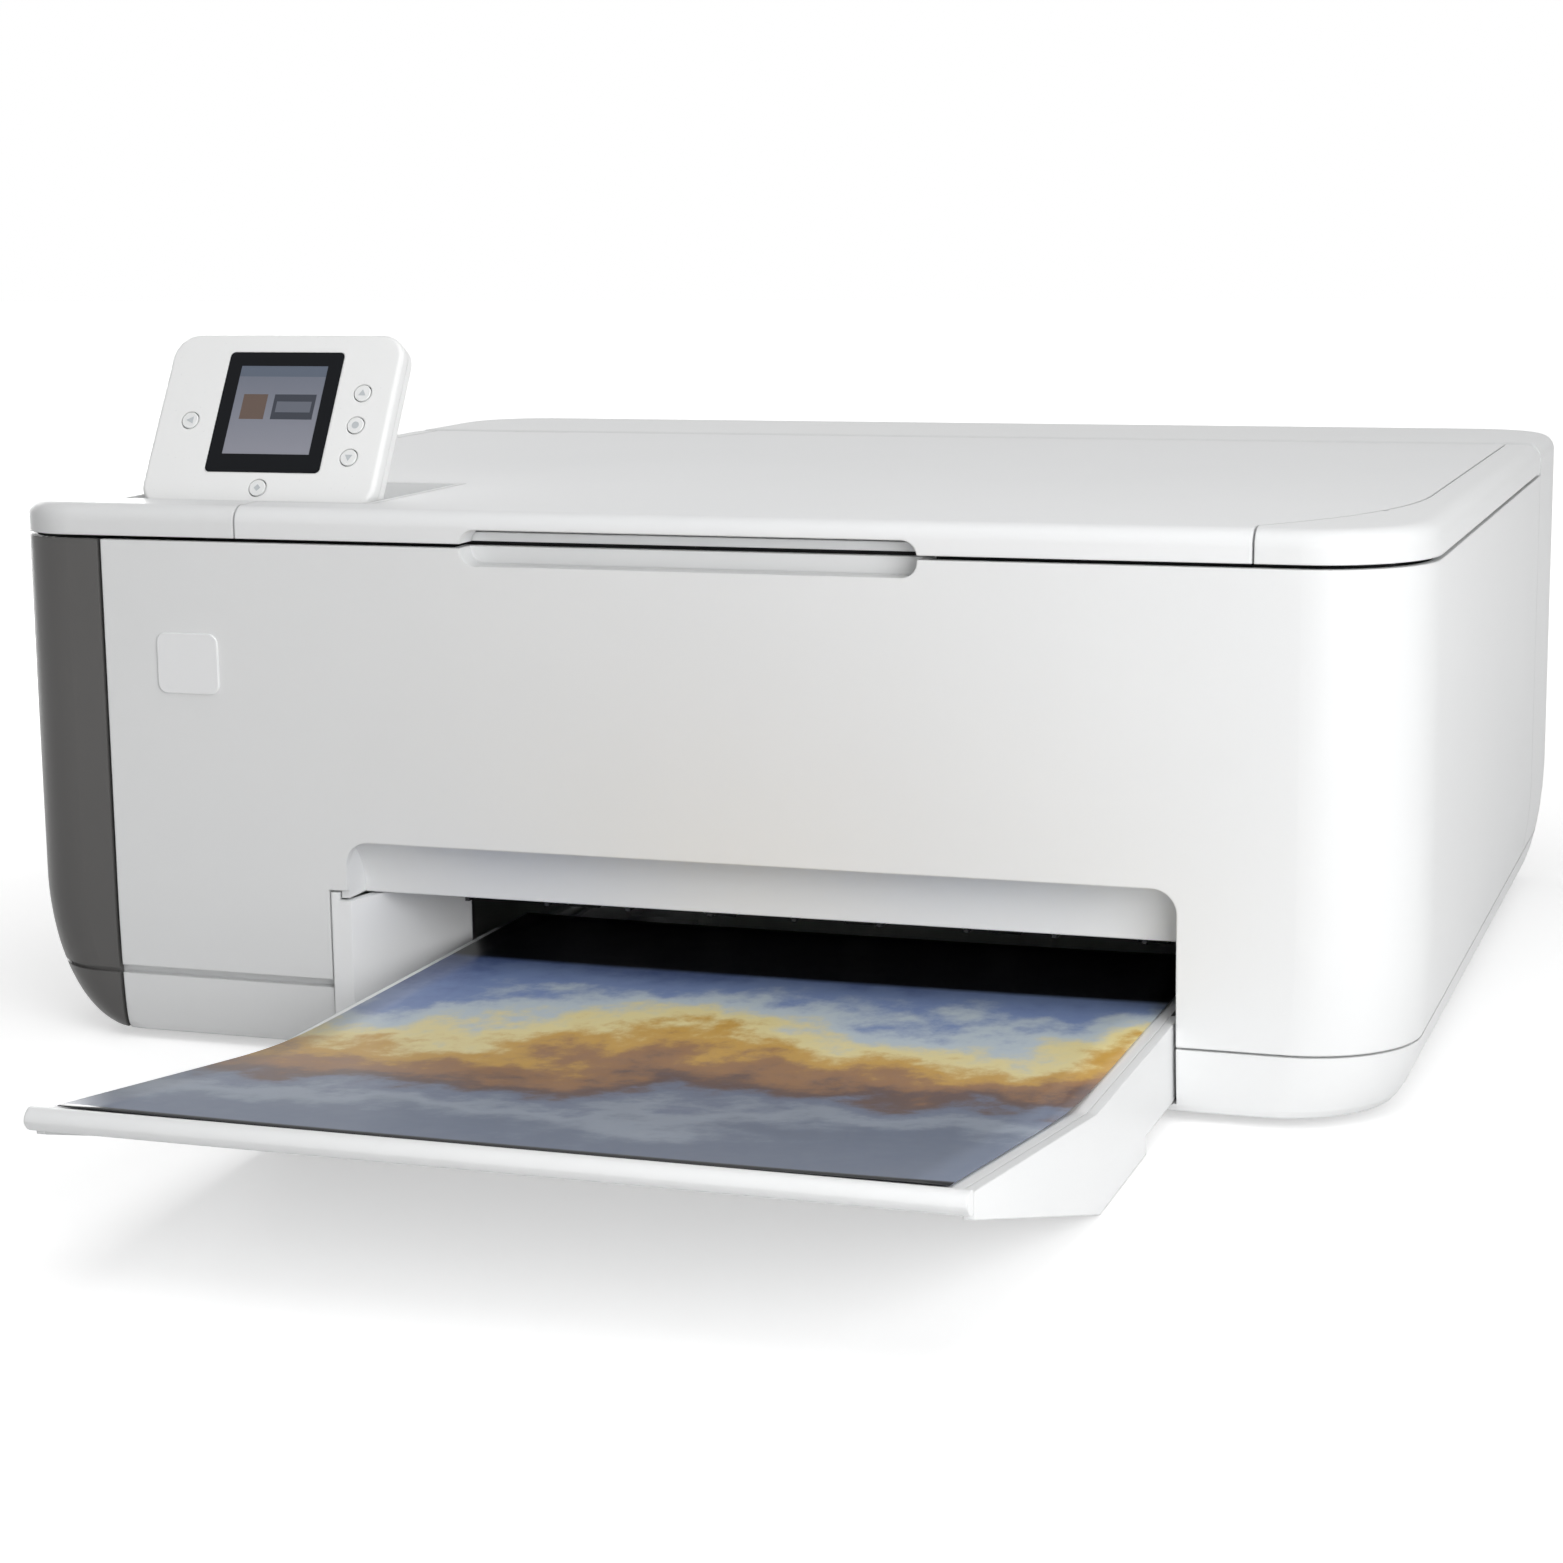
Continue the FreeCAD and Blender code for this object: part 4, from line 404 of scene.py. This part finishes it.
def colour_bands():
    """Coated paper with wavy printed bands and a photo-like speckle, drawn in the sheet's own UV map, with a dark
    front strip and painted shade over the rear part.
    """
    material = bpy.data.materials.new("printed_paper")
    material.use_nodes = True
    tree = material.node_tree
    shader = tree.nodes["Principled BSDF"]
    shader.inputs["Coat Weight"].default_value = 0.10
    shader.inputs["Coat Roughness"].default_value = 0.16
    shader.inputs["Specular IOR Level"].default_value = 0.3
    place = tree.nodes.new("ShaderNodeUVMap")
    place.uv_map = "print"
    split = tree.nodes.new("ShaderNodeSeparateXYZ")
    tree.links.new(place.outputs["UV"], split.inputs["Vector"])
    swell = tree.nodes.new("ShaderNodeTexNoise")
    swell.inputs["Scale"].default_value = 2.6
    swell.inputs["Detail"].default_value = 2.0
    tree.links.new(place.outputs["UV"], swell.inputs["Vector"])
    ripple = tree.nodes.new("ShaderNodeTexNoise")
    ripple.inputs["Scale"].default_value = 14.0
    ripple.inputs["Detail"].default_value = 8.0
    ripple.inputs["Roughness"].default_value = 0.62
    tree.links.new(place.outputs["UV"], ripple.inputs["Vector"])
    push = tree.nodes.new("ShaderNodeMath")
    push.operation = "MULTIPLY_ADD"
    push.inputs[1].default_value = 0.55
    push.inputs[2].default_value = -0.275
    tree.links.new(swell.outputs["Fac"], push.inputs[0])
    fine = tree.nodes.new("ShaderNodeMath")
    fine.operation = "MULTIPLY_ADD"
    fine.inputs[1].default_value = 0.30
    fine.inputs[2].default_value = -0.15
    tree.links.new(ripple.outputs["Fac"], fine.inputs[0])
    first = tree.nodes.new("ShaderNodeMath")
    lean = tree.nodes.new("ShaderNodeMath")
    lean.operation = "MULTIPLY_ADD"
    lean.inputs[1].default_value = -0.16
    tree.links.new(split.outputs["X"], lean.inputs[0])
    tree.links.new(split.outputs["Y"], lean.inputs[2])
    tree.links.new(lean.outputs[0], first.inputs[0])
    tree.links.new(push.outputs[0], first.inputs[1])
    second = tree.nodes.new("ShaderNodeMath")
    tree.links.new(first.outputs[0], second.inputs[0])
    tree.links.new(fine.outputs[0], second.inputs[1])
    ramp = tree.nodes.new("ShaderNodeValToRGB")
    bands = ramp.color_ramp
    bands.interpolation = "EASE"
    stops = ((0.00, (0.10, 0.13, 0.20)), (0.10, (0.25, 0.29, 0.36)), (0.18, (0.14, 0.17, 0.25)),
             (0.25, (0.11, 0.06, 0.05)), (0.33, (0.30, 0.15, 0.06)), (0.40, (0.55, 0.32, 0.06)),
             (0.47, (0.74, 0.64, 0.32)), (0.55, (0.48, 0.55, 0.60)), (0.64, (0.19, 0.26, 0.46)),
             (0.80, (0.075, 0.115, 0.28)))
    while len(bands.elements) < len(stops):
        bands.elements.new(0.5)
    for element, (where, colour) in zip(bands.elements, stops):
        element.position = where
        element.color = (*colour, 1.0)
    tree.links.new(second.outputs[0], ramp.inputs["Fac"])
    # A thin dark strip along the sheet's front edge.
    edge = tree.nodes.new("ShaderNodeMapRange")
    edge.inputs["From Min"].default_value = 0.010
    edge.inputs["From Max"].default_value = 0.016
    tree.links.new(split.outputs["Y"], edge.inputs["Value"])
    dark_strip_and_rear_shade = tree.nodes.new("ShaderNodeMix")
    dark_strip_and_rear_shade.data_type = "RGBA"
    dark_strip_and_rear_shade.inputs["A"].default_value = (0.004, 0.0045, 0.006, 1.0)
    # Painted shade: the rear part of the sheet, which lies inside the paper exit, fades to near-black.
    tail = tree.nodes.new("ShaderNodeMapRange")
    tail.inputs["From Min"].default_value = 0.785
    tail.inputs["From Max"].default_value = 0.800
    tail.inputs["To Min"].default_value = 1.0
    tail.inputs["To Max"].default_value = 0.0
    tree.links.new(split.outputs["Y"], tail.inputs["Value"])
    inner = tree.nodes.new("ShaderNodeMath")
    inner.operation = "MULTIPLY"
    tree.links.new(edge.outputs["Result"], inner.inputs[0])
    tree.links.new(tail.outputs["Result"], inner.inputs[1])
    tree.links.new(inner.outputs[0], dark_strip_and_rear_shade.inputs["Factor"])
    tree.links.new(ramp.outputs["Color"], dark_strip_and_rear_shade.inputs["B"])
    tree.links.new(dark_strip_and_rear_shade.outputs["Result"], shader.inputs["Base Color"])
    gloss = tree.nodes.new("ShaderNodeMapRange")
    gloss.inputs["To Min"].default_value = 0.28
    gloss.inputs["To Max"].default_value = 0.42
    tree.links.new(ripple.outputs["Fac"], gloss.inputs["Value"])
    tree.links.new(gloss.outputs["Result"], shader.inputs["Roughness"])
    return material


sheet.data.materials.clear()
sheet.data.materials.append(colour_bands())
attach(sheet, "paper_tray")
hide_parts("printed_sheet")

# Scanner unit: deck and corner caps, tub, scan bar, rail and glass.
# The deck is the same white as the body; the tub below it is black and the glass is clear float glass.
dress(white_shell, "scanner_frame")
dress(inner_black, "scanner_tub")
dress(inner_grey, "scan_bar")
dress(ground_shaft, "scan_rail")


def float_glass():
    """Clear glass with a faint green body and a trace of dust in its gloss."""
    material = bpy.data.materials.new("float_glass")
    material.use_nodes = True
    tree = material.node_tree
    shader = tree.nodes["Principled BSDF"]
    shader.inputs["Transmission Weight"].default_value = 1.0
    shader.inputs["IOR"].default_value = 1.5
    place = tree.nodes.new("ShaderNodeTexCoord")
    dust = tree.nodes.new("ShaderNodeTexNoise")
    dust.inputs["Scale"].default_value = 90.0
    tint = tree.nodes.new("ShaderNodeMix")
    tint.data_type = "RGBA"
    tint.inputs["A"].default_value = (0.82, 0.90, 0.87, 1.0)
    tint.inputs["B"].default_value = (0.88, 0.94, 0.92, 1.0)
    gloss = tree.nodes.new("ShaderNodeMapRange")
    gloss.inputs["To Min"].default_value = 0.01
    gloss.inputs["To Max"].default_value = 0.05
    tree.links.new(place.outputs["Object"], dust.inputs["Vector"])
    tree.links.new(dust.outputs["Fac"], tint.inputs["Factor"])
    tree.links.new(tint.outputs["Result"], shader.inputs["Base Color"])
    tree.links.new(dust.outputs["Fac"], gloss.inputs["Value"])
    tree.links.new(gloss.outputs["Result"], shader.inputs["Roughness"])
    return material


dress(float_glass(), "scanner_glass")

# Scanner lid and its pad.
# The lid is a flat white moulding with a slightly coarser grain on top; a white foam sheet is glued under it.
lid_white = moulded("lid_white", (0.80, 0.81, 0.815), (0.86, 0.865, 0.87), 0.40, 700.0, 0.05, specular=0.15)
pad_foam = moulded("pad_foam", (0.74, 0.74, 0.73), (0.82, 0.82, 0.81), 0.85, 300.0, 0.4, 0.0)
dress(lid_white, "lid")
pad_low, pad_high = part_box("lid_pad")
pad_size = pad_high - pad_low
pad_middle = (pad_low + pad_high) / 2
pad_corner, pad_edge = 0.004, 0.0005
pad = rounded_plate("pad", pad_size.x, pad_size.y, pad_size.z, pad_corner)
lay_flat = Matrix.Rotation(math.radians(90.0), 4, "X")
pad.data.transform(Matrix.Translation((pad_middle.x, pad_middle.y, pad_high.z)) @ lay_flat)
soften(pad, pad_edge, 3)
pad.data.materials.append(pad_foam)
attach(pad, "lid")
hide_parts("lid_pad")

# Fold-up display.
# A white two-part shell with a polished black bezel, a small lit screen and five grey keys marked with plain signs.
panel_white = moulded("panel_white", (0.87, 0.875, 0.875), (0.91, 0.915, 0.91), 0.30, 900.0, 0.03)
dress(panel_white, "display_front", "display_back")
bezel_black = moulded("bezel_black", (0.004, 0.005, 0.007), (0.008, 0.009, 0.011), 0.24, 300.0, 0.01, 0.0, 0.09)
dress(bezel_black, "display_bezel")
key_white = moulded("key_white", (0.81, 0.82, 0.82), (0.86, 0.87, 0.865), 0.34, 900.0, 0.03, 0.0)
keys = ("key_back", "key_up", "key_ok", "key_down", "key_start")
dress(key_white, *keys)
axis_y, axis_z = -0.0545, 0.1605
tilt = math.radians(59.0)
slope_way = Vector((0.0, math.cos(tilt), math.sin(tilt)))
face_way = Vector((0.0, -math.sin(tilt), math.cos(tilt)))
screen_low, screen_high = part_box("display_screen")


def lit_screen():
    """A lit screen: a blue-grey field that brightens downward, a darker bar on top and two plain tiles."""
    material = bpy.data.materials.new("lit_screen")
    material.use_nodes = True
    tree = material.node_tree
    shader = tree.nodes["Principled BSDF"]
    shader.inputs["Roughness"].default_value = 0.12
    shader.inputs["Specular IOR Level"].default_value = 0.3
    shader.inputs["Emission Strength"].default_value = 0.18
    place = tree.nodes.new("ShaderNodeTexCoord")
    parts = tree.nodes.new("ShaderNodeSeparateXYZ")
    tree.links.new(place.outputs["Object"], parts.inputs["Vector"])

    def share(axis, low, high):
        node = tree.nodes.new("ShaderNodeMapRange")
        node.inputs["From Min"].default_value = low
        node.inputs["From Max"].default_value = high
        tree.links.new(parts.outputs[axis], node.inputs["Value"])
        return node.outputs["Result"]

    u = share("X", screen_low.x, screen_high.x)
    v = share("Z", screen_low.z, screen_high.z)

    def inside(value, low, high):
        above = tree.nodes.new("ShaderNodeMath")
        above.operation = "GREATER_THAN"
        above.inputs[1].default_value = low
        below = tree.nodes.new("ShaderNodeMath")
        below.operation = "LESS_THAN"
        below.inputs[1].default_value = high
        both = tree.nodes.new("ShaderNodeMath")
        both.operation = "MULTIPLY"
        tree.links.new(value, above.inputs[0])
        tree.links.new(value, below.inputs[0])
        tree.links.new(above.outputs[0], both.inputs[0])
        tree.links.new(below.outputs[0], both.inputs[1])
        return both.outputs[0]

    field = tree.nodes.new("ShaderNodeValToRGB")
    field.color_ramp.elements[0].color = (0.23, 0.235, 0.275, 1.0)
    field.color_ramp.elements[1].color = (0.125, 0.14, 0.18, 1.0)
    tree.links.new(v, field.inputs["Fac"])
    colour = field.outputs["Color"]
    for left, right, low, high, paint in (
            (0.0, 1.0, 0.88, 1.0, (0.09, 0.11, 0.15)), (0.10, 0.38, 0.40, 0.68, (0.11, 0.075, 0.06)),
            (0.46, 0.94, 0.40, 0.68, (0.035, 0.04, 0.055)), (0.50, 0.90, 0.48, 0.60, (0.11, 0.12, 0.15))):
        both = tree.nodes.new("ShaderNodeMath")
        both.operation = "MULTIPLY"
        tree.links.new(inside(u, left, right), both.inputs[0])
        tree.links.new(inside(v, low, high), both.inputs[1])
        mix = tree.nodes.new("ShaderNodeMix")
        mix.data_type = "RGBA"
        mix.inputs["B"].default_value = (*paint, 1.0)
        tree.links.new(both.outputs[0], mix.inputs["Factor"])
        tree.links.new(colour, mix.inputs["A"])
        colour = mix.outputs["Result"]
    tree.links.new(colour, shader.inputs["Base Color"])
    tree.links.new(colour, shader.inputs["Emission Color"])
    return material


dress(lit_screen(), "display_screen")
sign_unit, sign_level, sign_gauge = 0.001, 0.00281, 0.00006
sign_grey = moulded("sign_grey", (0.50, 0.53, 0.55), (0.56, 0.59, 0.61), 0.4, 900.0, 0.02, 0.0)
signs = {
    "key_up": [(-1.2, -0.8), (1.2, -0.8), (0.0, 1.2)],
    "key_down": [(-1.2, 0.8), (0.0, -1.2), (1.2, 0.8)],
    "key_back": [(1.1, -1.2), (1.1, 1.2), (-1.2, 0.0)],
    "key_ok": [(1.15 * math.cos(k * math.pi / 8), 1.15 * math.sin(k * math.pi / 8)) for k in range(16)],
    "key_start": [(-1.1, 0.0), (0.0, -1.1), (1.1, 0.0), (0.0, 1.1)],
}
for key in keys:
    low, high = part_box(key)
    centre = (low + high) / 2
    form = bmesh.new()
    key_axis = Vector((centre.x, axis_y, axis_z))
    lift = (centre - key_axis).dot(slope_way)
    middle = key_axis + slope_way * lift + face_way * sign_level
    ring = []
    for x, s in signs[key]:
        ring.append(form.verts.new(middle + Vector((x * sign_unit, 0.0, 0.0)) + slope_way * (s * sign_unit)))
    face = form.faces.new(ring)
    side = bmesh.ops.extrude_face_region(form, geom=[face])
    moved = [v for v in side["geom"] if isinstance(v, bmesh.types.BMVert)]
    bmesh.ops.translate(form, verts=moved, vec=face_way * sign_gauge)
    bmesh.ops.recalc_face_normals(form, faces=form.faces)
    sign_mesh = bpy.data.meshes.new(key + "_sign")
    form.to_mesh(sign_mesh)
    form.free()
    sign = bpy.data.objects.new(key + "_sign", sign_mesh)
    bpy.context.scene.collection.objects.link(sign)
    sign.data.materials.append(sign_grey)
    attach(sign, key)

# Floor, light and camera.
# A plain pale floor and white surroundings. Soft lamps stand at the right front, above and in front, and a fourth
# at the left rear, so that the back reads in its own colour too.
floor_mesh = bpy.data.meshes.new("floor")
floor_form = bmesh.new()
bmesh.ops.create_grid(floor_form, x_segments=1, y_segments=1, size=6.0)
floor_form.to_mesh(floor_mesh)
floor_form.free()
floor = bpy.data.objects.new("floor", floor_mesh)
bpy.context.scene.collection.objects.link(floor)
floor_white = bpy.data.materials.new("floor_white")
floor_white.use_nodes = True
floor_tree = floor_white.node_tree
floor_shader = floor_tree.nodes["Principled BSDF"]
floor_shader.inputs["Roughness"].default_value = 0.9
floor_shader.inputs["Specular IOR Level"].default_value = 0.1
floor_noise = floor_tree.nodes.new("ShaderNodeTexNoise")
floor_noise.inputs["Scale"].default_value = 3.0
floor_tone = floor_tree.nodes.new("ShaderNodeMix")
floor_tone.data_type = "RGBA"
floor_tone.inputs["A"].default_value = (0.72, 0.72, 0.72, 1.0)
floor_tone.inputs["B"].default_value = (0.75, 0.75, 0.75, 1.0)
floor_tree.links.new(floor_noise.outputs["Fac"], floor_tone.inputs["Factor"])
floor_tree.links.new(floor_tone.outputs["Result"], floor_shader.inputs["Base Color"])


def seen_directly(tree):
    """One on rays from the camera, from gloss and through glass, and zero on the rays that light the object."""
    path_kind = tree.nodes.new("ShaderNodeLightPath")
    either = tree.nodes.new("ShaderNodeMath")
    either.operation = "MAXIMUM"
    any_kind = tree.nodes.new("ShaderNodeMath")
    any_kind.operation = "MAXIMUM"
    tree.links.new(path_kind.outputs["Is Camera Ray"], either.inputs[0])
    tree.links.new(path_kind.outputs["Is Glossy Ray"], either.inputs[1])
    tree.links.new(either.outputs[0], any_kind.inputs[0])
    tree.links.new(path_kind.outputs["Is Transmission Ray"], any_kind.inputs[1])
    return any_kind.outputs[0]


floor_lift = floor_tree.nodes.new("ShaderNodeMath")
floor_lift.operation = "MULTIPLY"
floor_place = floor_tree.nodes.new("ShaderNodeTexCoord")
floor_reach = floor_tree.nodes.new("ShaderNodeVectorMath")
floor_reach.operation = "LENGTH"
floor_fade = floor_tree.nodes.new("ShaderNodeMapRange")
floor_fade.inputs["From Min"].default_value = 0.35
floor_fade.inputs["From Max"].default_value = 1.1
floor_fade.inputs["To Min"].default_value = 0.66
floor_fade.inputs["To Max"].default_value = 1.3
floor_tree.links.new(floor_place.outputs["Object"], floor_reach.inputs[0])
floor_tree.links.new(floor_reach.outputs["Value"], floor_fade.inputs["Value"])
floor_tree.links.new(floor_fade.outputs["Result"], floor_lift.inputs[1])
floor_tree.links.new(seen_directly(floor_tree), floor_lift.inputs[0])
floor_tree.links.new(floor_lift.outputs[0], floor_shader.inputs["Emission Strength"])
floor_tree.links.new(floor_tone.outputs["Result"], floor_shader.inputs["Emission Color"])
floor_mesh.materials.append(floor_white)

world = bpy.data.worlds.new("studio")
bpy.context.scene.world = world
world.use_nodes = True
sky = world.node_tree
backdrop = sky.nodes["Background"]
backdrop.inputs["Color"].default_value = (1.0, 1.0, 1.0, 1.0)
level = sky.nodes.new("ShaderNodeMapRange")
level.inputs["To Max"].default_value = 1.0
way = sky.nodes.new("ShaderNodeTexCoord")
way_parts = sky.nodes.new("ShaderNodeSeparateXYZ")
side_light = sky.nodes.new("ShaderNodeMapRange")
side_light.inputs["From Min"].default_value = -1.0
side_light.inputs["To Min"].default_value = 0.07
side_light.inputs["To Max"].default_value = 0.42
sky.links.new(way.outputs["Generated"], way_parts.inputs["Vector"])
sky.links.new(way_parts.outputs["X"], side_light.inputs["Value"])
sky.links.new(side_light.outputs["Result"], level.inputs["To Min"])
sky.links.new(seen_directly(sky), level.inputs["Value"])
sky.links.new(level.outputs["Result"], backdrop.inputs["Strength"])


def soft_lamp(name, place, aim, size, watts):
    """A square soft box that points at the object."""
    lamp = bpy.data.lights.new(name, "AREA")
    lamp.shape = "SQUARE"
    lamp.size = size
    lamp.energy = watts
    holder = bpy.data.objects.new(name, lamp)
    bpy.context.scene.collection.objects.link(holder)
    holder.location = place
    holder.visible_camera = False
    holder.rotation_mode = "QUATERNION"
    holder.rotation_quaternion = (Vector(aim) - Vector(place)).to_track_quat("-Z", "Y")


soft_lamp("right_box", (0.62, -0.68, 0.31), (0.0, -0.05, 0.1), 0.6, 4.9)
soft_lamp("top_box", (0.1, -0.35, 1.2), (0.0, 0.0, 0.1), 1.0, 5.4)
soft_lamp("front_box", (0.35, -1.15, 0.22), (0.0, -0.08, 0.08), 0.5, 0.7)
soft_lamp("rear_box", (-0.9, 0.75, 0.30), (0.0, 0.15, 0.1), 0.6, 6.0)

eye = Vector((0.319745, -0.911543, 0.251505))
yaw, pitch, roll = 0.3292, 0.1818, -0.0129
ahead = Vector((-math.sin(yaw) * math.cos(pitch), math.cos(yaw) * math.cos(pitch), -math.sin(pitch)))
level_right = Vector((math.cos(yaw), math.sin(yaw), 0.0))
level_up = level_right.cross(ahead)
right = math.cos(roll) * level_right + math.sin(roll) * level_up
up = -math.sin(roll) * level_right + math.cos(roll) * level_up
photo_pixels, focal_pixels, sensor = 1563.0, 3234.549, 36.0
lens = bpy.data.cameras.new("view")
lens.sensor_width = sensor
lens.lens = sensor * focal_pixels / photo_pixels
lens.clip_start = 0.05
lens.clip_end = 50.0
camera = bpy.data.objects.new("view", lens)
bpy.context.scene.collection.objects.link(camera)
turn = Matrix((right, up, -ahead)).transposed()
camera.matrix_world = Matrix.Translation(eye) @ turn.to_4x4()
bpy.context.scene.camera = camera
bpy.context.scene.view_settings.view_transform = "Standard"
